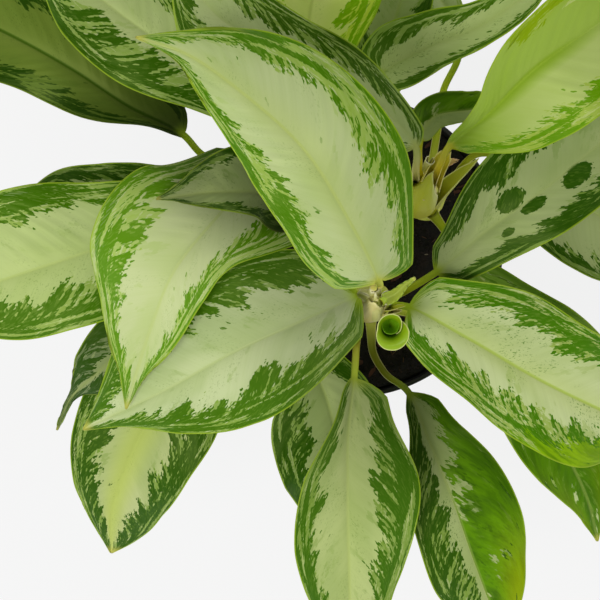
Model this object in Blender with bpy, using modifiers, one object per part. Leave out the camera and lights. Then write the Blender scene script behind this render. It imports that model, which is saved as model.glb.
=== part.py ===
"""Potted chinese evergreen: four canes with silver variegated leaves in a round nursery pot.

Lengths below are millimetres and are turned into metres when a mesh is made. The origin is the
centre of the pot's flat bottom, +Z is up, and +Y is the top of a view from above.
"""
import math
import random

import bmesh
import bpy
import numpy as np

MM = 0.001

# Pot
RIM_DIAMETER = 170.0
POT_HEIGHT = 150.0
FOOT_DIAMETER = 122.0
POT_WALL = 1.3
FLOOR_FILLET = 1.0
FLOOR_THICKNESS = 2.4
RIM_BAND_HEIGHT = 9.0
RIM_OVERHANG = 1.0
RIM_ROUNDING = 0.5
DRAIN_HOLES = 8
DRAIN_HOLE_DIAMETER = 9.0
DRAIN_RING_RADIUS = 44.0
POT_SIDES = 48

# Soil
SOIL_LEVEL = 136.0
SOIL_LUMP = 2.2
SOIL_SIDES = 36
SOIL_RING_SHARES = (0.2, 0.4, 0.58, 0.74, 0.88, 1.0)
SOIL_SETBACK = 0.5
SOIL_BANK = 7.0
SOIL_BANK_WIDTH = 14.0
SOIL_SEED = 11
BARK_CHIPS = 26
BARK_RAISE = 2.4
BARK_HALF_WIDTH = 3.0
BARK_FIELD_RADIUS = 70.0

# Clear gap between pieces that touch in the real plant
GAP = 0.35

# Canes: each has its place in the soil and the centre of its top
CANE_ROOT_DEPTH = 60.0
CANE_RADIUS = 6.0
SCAR_SPACING = 16.0
SCAR_HEIGHT = 0.7
SCAR_HALF_WIDTH = 1.2
CANE_SIDES = 12
CANES = {
    "a": ((10.0, -30.0), (6.0, -33.0, 296.0)),
    "b": ((38.0, 24.0), (35.0, 22.0, 262.0)),
    "c": ((-30.0, 24.0), (-32.0, 27.0, 262.0)),
    "d": ((-10.0, 46.0), (-13.0, 48.0, 252.0)),
}

# Leaves. STATIONS are shares of a blade's length, and COLUMNS shares of its half width.
BLADE_THICKNESS = 0.9
RIB_THICKNESS = 2.0
PETIOLE_RADIUS = 2.4
SHEATH_HEIGHT = 22.0
STALK_ROWS = 6
BLADE_BLEND = 0.06
LOBE_SHARE = 0.3
LEFT_WAVE_SHIFT = 1.9
CURVE_STEPS = 12
TANGENT_REACH = 0.6
STATIONS = (0.12, 0.30, 0.50, 0.70, 0.88)
TIP_HALF_WIDTH = 0.5
BLADE_ROWS = (0.03, 0.075, 0.13, 0.2, 0.28, 0.36, 0.44, 0.52, 0.6, 0.68, 0.76, 0.84, 0.91, 0.965, 1.0)
COLUMNS = (-1.0, -0.55, 0.0, 0.55, 1.0)

# Rolled new leaf: (share of its stalk or depth in its mouth, radius, drop of its front lip)
ROLLED_FOOT = 240.0
ROLLED_COMPASS = math.radians(-38)
ROLLED_NECK = (15.0, -42.0, 304.0)
ROLLED_MOUTH = (15.5, -44.5, 336.0)
ROLLED_OUTSIDE = ((0, 1.2, 0), (0.15, 1.8, 0), (0.45, 2.1, 0), (0.62, 2.8, 0), (0.78, 4.6, 0),
                  (0.9, 6.6, 1.0), (1.0, 8.4, 3.5))
ROLLED_INSIDE = ((0.2, 7.4, 3.2), (6.0, 5.4, 1.0), (14.0, 3.4, 0))
FRONT_LIP_REACH = 0.18


def leaf_row(cane, start, via, rib, left, right, roll=(0, 0), cup=(8, 8), curl=-14, lobe=7,
             wave=(2.5, 2.5, 0)):
    """One leaf.

    start: height on its cane and compass angle where its petiole leaves; via: points of the petiole.
    rib: points of the blade's midrib, from base to tip.
    left, right: half widths at STATIONS, seen from above and looking from base to tip.
    roll: degrees that the right side is lifted, at base and tip; cup: degrees that the left and
    right halves rise beside the rib; curl: degrees that they bend by the margin.
    lobe: how far the base's round lobes reach back; wave: height, number and phase of margin waves.
    """
    return dict(cane=cane, start=start, via=via, rib=rib, left=left, right=right, roll=roll,
                cup=cup, curl=curl, lobe=lobe, wave=wave)


LEAVES = {
    "leaf_a1": leaf_row("a", (236, 78), [(8, -24, 300)],
                        [(9, -21, 345), (-4, 4, 374), (-28, 41, 390), (-57, 68, 380), (-83, 87, 366),
                         (-109, 97, 350)],
                        (27, 30, 29, 18, 4), (23, 39, 40, 30, 9), roll=(8, 14), cup=(10, 10), curl=-30,
                        lobe=13, wave=(2.5, 2.2, 1.0)),
    "leaf_a2": leaf_row("a", (214, 158), [(-3, -29, 282)],
                        [(0, -28, 300), (-26, -40, 290), (-61, -56, 274), (-97, -76, 250), (-146, -100, 212)],
                        (25, 37, 37, 22, 7), (34, 43, 43, 37, 15), wave=(2.5, 2.5, 2.0)),
    "leaf_a3": leaf_row("a", (200, 235), [(0, -54, 264)],
                        [(-1, -71, 256), (-4, -100, 248), (-4, -130, 235), (-3, -170, 213), (0, -242, 165)],
                        (23, 38, 34, 23, 12), (7, 23, 29, 22, 12), wave=(2.0, 2.0, 1.0)),
    "leaf_a4": leaf_row("a", (156, 205), [(-12, -42, 188)],
                        [(-23, -55, 198), (-14, -86, 200), (-4, -129, 180), (0, -176, 150)],
                        (18, 28, 30, 24, 9), (20, 34, 35, 29, 12)),
    "leaf_a5": leaf_row("a", (142, 275), [(11, -58, 166), (17, -70, 180)],
                        [(30, -81, 203), (41, -108, 209), (53, -137, 203), (65, -170, 190), (87, -226, 156)],
                        (16, 29, 33, 26, 12), (8, 22, 26, 25, 12), lobe=3, wave=(2.0, 3.0, 3.0)),
    "leaf_a6": leaf_row("a", (226, -8), [(18, -33, 285)],
                        [(26, -34, 300), (56, -50, 302), (93, -71, 284), (124, -86, 267), (167, -104, 236)],
                        (25, 36, 35, 31, 14), (22, 28, 33, 32, 14), wave=(3.0, 2.5, 4.0)),
    "leaf_a7": leaf_row("a", (205, 40), [(24, -26, 278)],
                        [(40, -16, 292), (65, 5, 311), (90, 23, 319), (121, 48, 308), (162, 79, 285)],
                        (15, 29, 33, 26, 10), (15, 21, 24, 23, 10), cup=(-6, 8), wave=(2.5, 2.0, 2.5)),
    "leaf_a8": leaf_row("a", (160, 340), [(42, -40, 178)],
                        [(67, -49, 190), (90, -72, 202), (111, -106, 198), (129, -140, 180),
                         (137, -165, 160)],
                        (16, 22, 22, 15, 6), (16, 23, 23, 16, 6), wave=(2.0, 2.0, 1.5)),
    "young_leaf_a": leaf_row("a", (262, 30), [(12, -31, 300)],
                             [(13, -30, 320), (18, -27, 335), (22, -23, 344), (26, -20, 350)],
                             (3.2, 3.8, 3.4, 2.4, 1.2), (3.2, 3.8, 3.4, 2.4, 1.2), cup=(35, 35), curl=0,
                             lobe=0, wave=(0, 0, 0)),
    "leaf_b1": leaf_row("b", (196, 45), [(41, 34, 268)],
                        [(46, 47, 300), (62, 60, 332), (85, 82, 354), (112, 101, 357), (149, 128, 342)],
                        (5, 11, 24, 29, 13), (12, 31, 37, 33, 13), cup=(45, 4), lobe=0,
                        wave=(2.5, 2.0, 0.5)),
    "leaf_b2": leaf_row("b", (176, -10), [(52, 33, 222), (65, 47, 232)],
                        [(77, 46, 238), (102, 30, 247), (134, 10, 247), (182, -15, 222)],
                        (18, 25, 28, 22, 9), (22, 29, 31, 26, 10)),
    "leaf_b3": leaf_row("b", (205, 125), [(30, 36, 274)],
                        [(29, 47, 298), (15, 62, 318), (-10, 78, 338), (-39, 91, 344), (-66, 106, 336),
                         (-94, 145, 310)],
                        (20, 32, 34, 26, 10), (10, 16, 20, 22, 10), wave=(3.0, 3.0, 1.0)),
    "leaf_b4": leaf_row("b", (186, 85), [(34, 42, 232)],
                        [(34, 54, 242), (40, 65, 250), (60, 69, 254), (87, 73, 240)],
                        (9, 11, 10, 8, 3), (6.5, 7, 6, 5, 2), lobe=3, wave=(1.0, 2.0, 1.0)),
    "leaf_b5": leaf_row("b", (156, 65), [(46, 64, 190), (48, 82, 203)],
                        [(56, 104, 220), (50, 122, 228), (38, 140, 232), (22, 167, 222)],
                        (6, 9, 10, 8, 3), (6, 9, 10, 8, 3), wave=(1.0, 2.0, 1.0)),
    "leaf_b6": leaf_row("b", (190, -50), [(48, 7, 222)],
                        [(57, -9, 232), (79, -30, 238), (109, -52, 234), (137, -79, 215), (161, -101, 195)],
                        (11, 15, 17, 15, 7), (14, 22, 24, 20, 8)),
    "leaf_c1": leaf_row("c", (212, 140), [(-42, 38, 270)],
                        [(-49, 38, 290), (-70, 12, 310), (-90, -12, 304), (-106, -45, 274), (-121, -88, 238)],
                        (43, 23, 20, 15, 4), (29, 48, 46, 29, 8), roll=(-6, -6), cup=(6, 6), curl=-20,
                        wave=(3.5, 2.0, 3.0)),
    "leaf_c2": leaf_row("c", (222, 70), [(-29, 28, 290)],
                        [(-29, 18, 308), (-49, 23, 321), (-70, 23, 326), (-101, 20, 313)],
                        (16, 13, 10, 6.5, 2), (18, 24, 22, 14, 4)),
    "leaf_c3": leaf_row("c", (190, 185), [(-54, 20, 240)],
                        [(-79, 15, 250), (-107, 6, 262), (-138, -5, 264), (-184, -20, 258), (-234, -36, 236)],
                        (26, 36, 36, 32, 14), (22, 33, 43, 42, 17), cup=(1, 8), wave=(3.0, 2.5, 5.0)),
    "leaf_c4": leaf_row("c", (165, 158), [(-52, 30, 215)],
                        [(-79, 25, 234), (-108, 25, 242), (-137, 22, 240), (-184, 11, 222)],
                        (12, 17, 19, 17, 8), (12, 17, 19, 20, 12), wave=(2.0, 2.0, 2.0)),
    "leaf_c5": leaf_row("c", (150, 225), [(-66, -6, 164)],
                        [(-90, -38, 176), (-106, -82, 184), (-124, -119, 172), (-135, -150, 150),
                         (-137, -175, 126)],
                        (24, 37, 35, 30, 20), (26, 38, 37, 26, 9), cup=(8, 2), wave=(2.0, 2.5, 4.0)),
    "leaf_c6": leaf_row("c", (160, 255), [(-66, -6, 192)],
                        [(-99, -30, 208), (-118, -49, 214), (-137, -68, 205), (-154, -83, 185),
                         (-165, -103, 160)],
                        (18, 22, 14, 3, 1.5), (16, 19, 15, 3, 1.5), wave=(1.5, 2.0, 1.0)),
    "leaf_d1": leaf_row("d", (180, 150), [(-56, 40, 206), (-81, 47, 224)],
                        [(-91, 57, 240), (-119, 71, 256), (-145, 88, 262), (-185, 110, 260),
                         (-240, 132, 232)],
                        (5, 19, 23, 27, 12), (16, 26, 30, 26, 10), wave=(3.0, 3.0, 0.7)),
    "leaf_d2": leaf_row("d", (200, 115), [(-34, 58, 252)],
                        [(-52, 67, 268), (-80, 89, 284), (-107, 105, 293), (-130, 122, 292),
                         (-168, 152, 272)],
                        (16, 25, 29, 25, 12), (18, 28, 28, 24, 10), wave=(3.0, 2.5, 2.0)),
    "leaf_d3": leaf_row("d", (205, 75), [(-24, 60, 250)],
                        [(-33, 68, 268), (-27, 97, 288), (-23, 121, 298), (-16, 160, 292), (-6, 198, 272)],
                        (14, 26, 30, 24, 9), (14, 27, 35, 28, 10)),
    "leaf_d4": leaf_row("d", (170, 70), [(0, 66, 220)],
                        [(9, 78, 238), (15, 100, 252), (23, 125, 260), (36, 169, 248)],
                        (14, 20, 22, 17, 6), (14, 17, 17, 14, 6)),
    "leaf_d5": leaf_row("d", (188, 40), [(0, 68, 246)],
                        [(12, 86, 266), (37, 99, 282), (62, 109, 290), (85, 124, 290), (107, 146, 278)],
                        (20, 18, 13, 9, 4), (14, 12.5, 11, 9, 4), cup=(20, 14), lobe=11),
}


def smooth_path(points, steps=CURVE_STEPS):
    """Points along one smooth curve that passes through the given points."""
    pts = [np.array(p, dtype=float) for p in points]
    spans = [np.linalg.norm(b - a) for a, b in zip(pts, pts[1:])]
    slopes = [(pts[1] - pts[0]) / spans[0]]
    for k in range(1, len(pts) - 1):
        before = (pts[k] - pts[k - 1]) / spans[k - 1]
        after = (pts[k + 1] - pts[k]) / spans[k]
        slopes.append((before * spans[k] + after * spans[k - 1]) / (spans[k - 1] + spans[k]))
    slopes.append((pts[-1] - pts[-2]) / spans[-1])
    curve = []
    for k, span in enumerate(spans):
        for step in range(steps):
            u = step / steps
            curve.append(pts[k] * (2 * u**3 - 3 * u**2 + 1) + pts[k + 1] * (3 * u**2 - 2 * u**3)
                         + slopes[k] * span * (u**3 - 2 * u**2 + u) + slopes[k + 1] * span * (u**3 - u**2))
    curve.append(pts[-1])
    return np.array(curve)


def lengths_along(curve):
    """Distance from the start to each point of a curve."""
    steps = np.linalg.norm(np.diff(curve, axis=0), axis=1)
    return np.concatenate([[0.0], np.cumsum(steps)])


def point_at(curve, along, distance):
    """Point and unit tangent of a curve at a distance from its start."""
    ahead = min(distance + TANGENT_REACH, along[-1])
    behind = max(distance - TANGENT_REACH, 0.0)
    here = np.array([np.interp(distance, along, curve[:, k]) for k in range(3)])
    far = np.array([np.interp(ahead, along, curve[:, k]) for k in range(3)])
    near = np.array([np.interp(behind, along, curve[:, k]) for k in range(3)])
    return here, (far - near) / np.linalg.norm(far - near)


def outline(half_widths, length):
    """Half width of a blade at a share of its length, from its five half widths."""
    first = half_widths[0]
    stops = [(0.0, PETIOLE_RADIUS), (0.035 * length, 0.62 * first)]
    stops += [(share * length, width) for share, width in zip(STATIONS, half_widths)]
    stops.append((length, TIP_HALF_WIDTH))
    curve = smooth_path(stops, 6)
    return lambda share: float(np.interp(share * length, curve[:, 0], curve[:, 1]))


def level_side(tangent):
    """Level direction to the right of a path, seen from above."""
    side = np.cross(tangent, (0.0, 0.0, 1.0))
    return side / np.linalg.norm(side)


def cane_centre(cane, height):
    """Centre of a cane at a height."""
    foot, top = CANES[cane]
    share = (height - SOIL_LEVEL) / (top[2] - SOIL_LEVEL)
    return np.array([foot[0] + (top[0] - foot[0]) * share, foot[1] + (top[1] - foot[1]) * share, height])


def petiole_ring(centre, tangent, side, radius):
    """Closed ring round a petiole: five points over the top, then five under it."""
    side = side - tangent * np.dot(side, tangent)
    side = side / np.linalg.norm(side)
    up = np.cross(side, tangent)
    count = 2 * len(COLUMNS)
    ring = []
    for k in range(count):
        angle = math.pi - (k + 0.5) * 2 * math.pi / count
        ring.append(centre + side * radius * math.cos(angle) + up * radius * math.sin(angle))
    return ring


def blade_ring(leaf, share, centre, tangent, half_width):
    """Ring round the blade at a share of its length: its top from left to right, then its underside."""
    roll = math.radians(leaf["roll"][0] + (leaf["roll"][1] - leaf["roll"][0]) * share)
    flat_side = level_side(tangent)
    flat_up = np.cross(flat_side, tangent)
    side = flat_side * math.cos(roll) + flat_up * math.sin(roll)
    up = flat_up * math.cos(roll) - flat_side * math.sin(roll)
    height, waves, phase = leaf["wave"]
    swept = leaf["lobe"] * max(0.0, 1.0 - share / LOBE_SHARE) ** 2
    top = []
    under = []
    for column in COLUMNS:
        reach = abs(column)
        width = half_width[0 if column < 0 else 1] * reach
        cup = leaf["cup"][0 if column < 0 else 1]
        slope = math.radians(cup + leaf["curl"] * reach * 0.5)
        edge_slope = math.radians(cup + leaf["curl"] * reach)
        turn = math.copysign(1.0, column) if column else 0.0
        shift = LEFT_WAVE_SHIFT if column < 0 else 0.0
        swing = math.sin(2 * math.pi * waves * share + phase + shift)
        lift = height * swing * reach**2 * max(0.0, math.sin(math.pi * share)) ** 0.5
        spot = centre + side * turn * width * math.cos(slope) + up * (width * math.sin(slope) + lift)
        spot = spot - tangent * swept * reach**2
        normal = up * math.cos(edge_slope) - side * turn * math.sin(edge_slope)
        if not turn:
            normal = up
        below = BLADE_THICKNESS
        if not turn:
            below += (RIB_THICKNESS - BLADE_THICKNESS) * (1.0 - share)
        top.append(spot + normal * BLADE_THICKNESS * 0.5)
        under.append(spot - normal * (below - BLADE_THICKNESS * 0.5))
    return top + under[::-1]


def leaf_rings(leaf):
    """All rings of a leaf, from the petiole's foot on its cane to the tip of its blade."""
    height, compass = leaf["start"]
    out = np.array([math.cos(math.radians(compass)), math.sin(math.radians(compass)), 0.0])
    clear = CANE_RADIUS + SCAR_HEIGHT + GAP
    foot = cane_centre(leaf["cane"], height) + out * (clear + PETIOLE_RADIUS * 0.5)
    sheath_top = cane_centre(leaf["cane"], height + SHEATH_HEIGHT) + out * (clear + PETIOLE_RADIUS)
    leaving = cane_centre(leaf["cane"], height + SHEATH_HEIGHT + 4.0) + out * (clear + PETIOLE_RADIUS)
    stalk_points = [foot, sheath_top, leaving] + list(leaf["via"])
    whole = smooth_path(stalk_points + list(leaf["rib"]))
    along = lengths_along(whole)
    blade_start = along[CURVE_STEPS * len(stalk_points)]
    length = along[-1] - blade_start
    _, base_tangent = point_at(whole, along, blade_start)
    base_side = level_side(base_tangent)
    rings = []
    for row in range(STALK_ROWS + 1):
        share = row / STALK_ROWS
        centre, tangent = point_at(whole, along, blade_start * share)
        radius = PETIOLE_RADIUS * (0.5 + 0.5 * min(1.0, blade_start * share / SHEATH_HEIGHT))
        rings.append(petiole_ring(centre, tangent, base_side, radius))
    left = outline(leaf["left"], length)
    right = outline(leaf["right"], length)
    for share in BLADE_ROWS:
        centre, tangent = point_at(whole, along, blade_start + length * share)
        blade = blade_ring(leaf, share, centre, tangent, (left(share), right(share)))
        mix = min(1.0, share / BLADE_BLEND)
        if mix < 1.0:
            stalk = petiole_ring(centre, tangent, base_side, PETIOLE_RADIUS)
            blade = [a * (1.0 - mix) + b * mix for a, b in zip(stalk, blade)]
        rings.append(blade)
    return rings


def loft(name, rings, material):
    """Closed body through a row of rings. Both faces of a blade are split along like diagonals."""
    mesh = bpy.data.meshes.new(name)
    bm = bmesh.new()
    rows = [[bm.verts.new(tuple(point * MM)) for point in ring] for ring in rings]
    count = len(rows[0])
    half = count // 2
    for low, high in zip(rows, rows[1:]):
        for k in range(count):
            after = (k + 1) % count
            if k < half:
                bm.faces.new((low[k], low[after], high[after]))
                bm.faces.new((low[k], high[after], high[k]))
            else:
                bm.faces.new((low[k], low[after], high[k]))
                bm.faces.new((low[after], high[after], high[k]))
    bm.faces.new(rows[0][::-1])
    bm.faces.new(rows[-1])
    bmesh.ops.recalc_face_normals(bm, faces=bm.faces)
    bmesh.ops.triangulate(bm, faces=[face for face in bm.faces if len(face.verts) > 4])
    bm.to_mesh(mesh)
    bm.free()
    mesh.materials.append(material)
    mesh.shade_smooth()
    body = bpy.data.objects.new(name, mesh)
    PLANT.objects.link(body)
    return body


def plain_material(name, colour, roughness):
    """Material with a plain colour."""
    material = bpy.data.materials.new(name)
    material.use_nodes = True
    shader = material.node_tree.nodes["Principled BSDF"]
    shader.inputs["Base Color"].default_value = (*colour, 1.0)
    shader.inputs["Roughness"].default_value = roughness
    shader.inputs["Metallic"].default_value = 0.0
    return material


def mesh_object(name, bm, material, collection):
    """Object made from a bmesh in millimetres."""
    bmesh.ops.scale(bm, vec=(MM, MM, MM), verts=bm.verts)
    mesh = bpy.data.meshes.new(name)
    bm.to_mesh(mesh)
    bm.free()
    body = bpy.data.objects.new(name, mesh)
    collection.objects.link(body)
    if material:
        mesh.materials.append(material)
        mesh.shade_smooth()
        mesh.set_sharp_from_angle(angle=math.radians(40))
    return body


def turned(name, profile, sides, material):
    """Body of revolution round +Z from a profile that runs down its outer side."""
    bm = bmesh.new()
    verts = [bm.verts.new((radius, 0.0, height)) for radius, height in profile]
    for a, b in zip(verts, verts[1:]):
        bm.edges.new((a, b))
    body = mesh_object(name, bm, None, PLANT)
    body.data.materials.append(material)
    screw = body.modifiers.new("turn", "SCREW")
    screw.steps = sides
    screw.render_steps = sides
    screw.use_merge_vertices = True
    screw.merge_threshold = 0.00001
    return body


def cylinder_cutter(name, radius, bottom, top, x, y):
    """Upright cylinder that cuts a plain round hole."""
    bm = bmesh.new()
    bmesh.ops.create_cone(bm, cap_ends=True, segments=16, radius1=radius, radius2=radius, depth=top - bottom)
    bmesh.ops.translate(bm, vec=(x, y, (top + bottom) / 2), verts=bm.verts)
    cutter = mesh_object(name, bm, None, CUTTERS)
    cutter.hide_render = True
    cutter.display_type = "WIRE"
    return cutter


def cut(body, cutter):
    """Cut one body with another."""
    modifier = body.modifiers.new("cut_" + cutter.name, "BOOLEAN")
    modifier.operation = "DIFFERENCE"
    modifier.object = cutter
    modifier.solver = "EXACT"


def wall_radius(height):
    """Outer radius of the pot's sloped wall at a height."""
    foot = FOOT_DIAMETER / 2
    top = RIM_DIAMETER / 2 - RIM_OVERHANG
    return foot + (top - foot) * height / POT_HEIGHT


def make_pot(material):
    """Thin nursery pot: sloped wall, turned-out rim band, flat bottom with a ring of drain holes."""
    rim = RIM_DIAMETER / 2
    band_foot = POT_HEIGHT - RIM_BAND_HEIGHT
    lip = RIM_ROUNDING
    outside = [(rim - lip, POT_HEIGHT), (rim, POT_HEIGHT - lip), (rim, band_foot + lip),
               (rim - lip, band_foot), (wall_radius(band_foot), band_foot - lip),
               (wall_radius(70.0), 70.0), (FOOT_DIAMETER / 2, 1.5), (FOOT_DIAMETER / 2 - 1.5, 0.0),
               (0.0, 0.0)]
    inside = [(0.0, FLOOR_THICKNESS),
              (wall_radius(FLOOR_THICKNESS) - POT_WALL - FLOOR_FILLET, FLOOR_THICKNESS),
              (wall_radius(70.0) - POT_WALL, 70.0), (wall_radius(POT_HEIGHT) - POT_WALL, POT_HEIGHT - lip),
              (wall_radius(POT_HEIGHT) - POT_WALL + lip, POT_HEIGHT), (rim - lip, POT_HEIGHT)]
    pot = turned("pot", outside + inside, POT_SIDES, material)
    for number in range(DRAIN_HOLES):
        angle = 2 * math.pi * number / DRAIN_HOLES
        x = DRAIN_RING_RADIUS * math.cos(angle)
        y = DRAIN_RING_RADIUS * math.sin(angle)
        hole = cylinder_cutter("drain_%d" % number, DRAIN_HOLE_DIAMETER / 2, -1.0, FLOOR_THICKNESS + 1.0,
                               x, y)
        cut(pot, hole)


def soil_height(x, y, chips):
    """Lumpy top of the potting mix, banked up at the wall, with long bark chips raised from it."""
    lumps = math.sin(x * 0.23 + 1.0) * math.cos(y * 0.19) + 0.6 * math.sin(x * 0.11 - y * 0.31)
    height = SOIL_LEVEL + SOIL_LUMP * 0.5 * lumps
    edge = wall_radius(SOIL_LEVEL + SOIL_BANK) - POT_WALL
    up_bank = min(1.0, max(0.0, 1.0 - (edge - math.hypot(x, y)) / SOIL_BANK_WIDTH))
    height += SOIL_BANK * up_bank * up_bank * (3 - 2 * up_bank)
    for chip_x, chip_y, angle, length in chips:
        along = (x - chip_x) * math.cos(angle) + (y - chip_y) * math.sin(angle)
        across = (y - chip_y) * math.cos(angle) - (x - chip_x) * math.sin(angle)
        height += BARK_RAISE * math.exp(-(along / length) ** 2 - (across / BARK_HALF_WIDTH) ** 2)
    return height


def make_soil(material):
    """Potting mix that fills the pot to just under the rim, with plain holes for the canes."""
    draw = random.Random(SOIL_SEED)
    chips = []
    for _ in range(BARK_CHIPS):
        radius = BARK_FIELD_RADIUS * math.sqrt(draw.random())
        around = draw.uniform(0.0, 2 * math.pi)
        chips.append((radius * math.cos(around), radius * math.sin(around), draw.uniform(0.0, math.pi),
                      draw.uniform(4.0, 8.0)))
    bm = bmesh.new()
    top_radius = wall_radius(SOIL_LEVEL + SOIL_BANK) - POT_WALL - GAP - SOIL_SETBACK
    bottom_radius = wall_radius(FLOOR_THICKNESS) - POT_WALL - GAP - SOIL_SETBACK - FLOOR_FILLET
    turns = [2 * math.pi * number / SOIL_SIDES for number in range(SOIL_SIDES)]
    rings = []
    for share in SOIL_RING_SHARES:
        ring = []
        for angle in turns:
            x = top_radius * share * math.cos(angle)
            y = top_radius * share * math.sin(angle)
            ring.append(bm.verts.new((x, y, soil_height(x, y, chips))))
        rings.append(ring)
    base = []
    for angle in turns:
        base.append(bm.verts.new((bottom_radius * math.cos(angle), bottom_radius * math.sin(angle),
                                  FLOOR_THICKNESS + GAP)))
    rings.append(base)
    middle = bm.verts.new((0.0, 0.0, soil_height(0.0, 0.0, chips)))
    for number in range(SOIL_SIDES):
        after = (number + 1) % SOIL_SIDES
        bm.faces.new((middle, rings[0][number], rings[0][after]))
        for inner, outer in zip(rings, rings[1:]):
            bm.faces.new((inner[number], outer[number], outer[after]))
            bm.faces.new((inner[number], outer[after], inner[after]))
    bm.faces.new(base[::-1])
    bmesh.ops.recalc_face_normals(bm, faces=bm.faces)
    bmesh.ops.triangulate(bm, faces=bm.faces)
    soil = mesh_object("soil", bm, material, PLANT)
    for cane, (foot, _) in CANES.items():
        hole = cylinder_cutter("hole_" + cane, CANE_RADIUS + GAP + 0.2, SOIL_LEVEL - CANE_ROOT_DEPTH - GAP,
                               SOIL_LEVEL + 20.0, foot[0], foot[1])
        cut(soil, hole)


def make_cane(cane, material):
    """Short pale cane: a buried straight foot, then a stem with leaf scars, closed by a rounded top."""
    foot, top = CANES[cane]
    buried = SOIL_LEVEL + 4.0
    heights = [SOIL_LEVEL - CANE_ROOT_DEPTH, buried]
    radii = [CANE_RADIUS * 0.9, CANE_RADIUS]
    height = buried + SCAR_SPACING * 0.5
    while height < top[2] - SCAR_SPACING:
        heights += [height - SCAR_HALF_WIDTH, height, height + SCAR_HALF_WIDTH]
        radii += [CANE_RADIUS, CANE_RADIUS + SCAR_HEIGHT, CANE_RADIUS]
        height += SCAR_SPACING
    heights += [top[2] - 5.0, top[2] - 1.5, top[2]]
    radii += [CANE_RADIUS * 0.92, CANE_RADIUS * 0.7, CANE_RADIUS * 0.25]
    rings = []
    for height, radius in zip(heights, radii):
        centre = cane_centre(cane, max(height, buried))
        centre[2] = height
        if height <= buried:
            centre[0], centre[1] = foot
        ring = []
        for number in range(CANE_SIDES):
            angle = 2 * math.pi * number / CANE_SIDES
            ring.append(centre + radius * np.array([math.cos(angle), math.sin(angle), 0.0]))
        rings.append(ring)
    loft("cane_" + cane, rings, material)


def funnel_ring(centre, radius, slant):
    """Level ring of a funnel. With a slant, its front lip (-Y) hangs lower and reaches further."""
    ring = []
    count = 12
    for number in range(count):
        angle = math.pi - (number + 0.5) * 2 * math.pi / count
        forward = -math.sin(angle)
        reach = radius * (1.0 + FRONT_LIP_REACH * forward) if slant else radius
        ring.append(centre + np.array((reach * math.cos(angle), -reach * forward, -slant * forward)))
    return ring


def make_rolled_leaf(material):
    """New leaf that is still rolled up: a narrow stalk that opens into a slanted funnel."""
    out = np.array([math.cos(ROLLED_COMPASS), math.sin(ROLLED_COMPASS), 0.0])
    foot = cane_centre("a", ROLLED_FOOT) + out * (CANE_RADIUS + SCAR_HEIGHT + GAP + 1.4)
    beside_cane = foot + out * 2.5 + np.array((0.0, 0.0, 30.0))
    path = smooth_path([foot, beside_cane, ROLLED_NECK, ROLLED_MOUTH])
    along = lengths_along(path)
    rings = []
    for share, radius, slant in ROLLED_OUTSIDE:
        centre, _ = point_at(path, along, along[-1] * share)
        rings.append(funnel_ring(centre, radius, slant))
    for depth, radius, slant in ROLLED_INSIDE:
        rings.append(funnel_ring(np.array(ROLLED_MOUTH) - np.array((0.0, 0.0, depth)), radius, slant))
    loft("rolled_leaf_a", rings, material)


for old in list(bpy.data.objects):
    bpy.data.objects.remove(old, do_unlink=True)
PLANT = bpy.data.collections.new("potted_chinese_evergreen")
CUTTERS = bpy.data.collections.new("cutters")
bpy.context.scene.collection.children.link(PLANT)
bpy.context.scene.collection.children.link(CUTTERS)

make_pot(plain_material("pot_plastic", (0.012, 0.012, 0.013), 0.5))
make_soil(plain_material("potting_mix", (0.03, 0.02, 0.015), 0.95))
CANE_SKIN = plain_material("cane_skin", (0.5, 0.42, 0.22), 0.6)
LEAF_SKIN = plain_material("leaf", (0.36, 0.5, 0.2), 0.38)
YOUNG_SKIN = plain_material("young_leaf", (0.3, 0.45, 0.03), 0.4)
for cane_name in CANES:
    make_cane(cane_name, CANE_SKIN)
for leaf_name, leaf in LEAVES.items():
    loft(leaf_name, leaf_rings(leaf), YOUNG_SKIN if leaf_name.startswith("young") else LEAF_SKIN)
make_rolled_leaf(YOUNG_SKIN)
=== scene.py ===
"""Looks of a potted chinese evergreen: fine pot, potting mix, canes and leaves on the fixed frame.

Lengths in this script are millimetres, as in the frame's own drawing, and are turned into metres
when a mesh is made. The camera looks straight down, with +X to the right and +Y to the top.
"""
import math
import random

import bmesh
import bpy
import numpy as np
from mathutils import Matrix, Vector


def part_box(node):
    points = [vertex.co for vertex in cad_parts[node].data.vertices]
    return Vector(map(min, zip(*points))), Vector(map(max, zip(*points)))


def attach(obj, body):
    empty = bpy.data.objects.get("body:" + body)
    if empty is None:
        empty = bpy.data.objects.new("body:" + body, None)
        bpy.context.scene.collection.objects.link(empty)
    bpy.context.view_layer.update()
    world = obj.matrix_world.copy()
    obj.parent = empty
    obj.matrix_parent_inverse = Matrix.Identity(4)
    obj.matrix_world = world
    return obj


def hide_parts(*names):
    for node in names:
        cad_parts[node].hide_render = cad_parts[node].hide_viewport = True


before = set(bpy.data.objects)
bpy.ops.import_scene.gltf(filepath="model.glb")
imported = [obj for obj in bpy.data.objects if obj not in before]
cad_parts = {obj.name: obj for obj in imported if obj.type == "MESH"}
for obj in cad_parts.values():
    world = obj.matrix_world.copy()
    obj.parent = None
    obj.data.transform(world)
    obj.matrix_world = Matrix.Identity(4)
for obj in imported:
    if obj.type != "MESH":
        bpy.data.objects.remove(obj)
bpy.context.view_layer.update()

# Nursery pot: thin black plastic, injection moulded with a slight taper. A turned-out band stiffens
# its mouth, a small step lets empty pots stack, and drain holes go through the floor. It is one
# turned profile, cut by plain cylinders.
MM = 0.001
POT_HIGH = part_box("pot")[1]
RIM_RADIUS = POT_HIGH.x / MM
POT_HEIGHT = POT_HIGH.z / MM
FOOT_RADIUS = 61.0
RIM_OVERHANG = 1.0
RIM_BAND_HEIGHT = 9.0
LIP_RADIUS = 0.55
POT_WALL = 1.3
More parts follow.
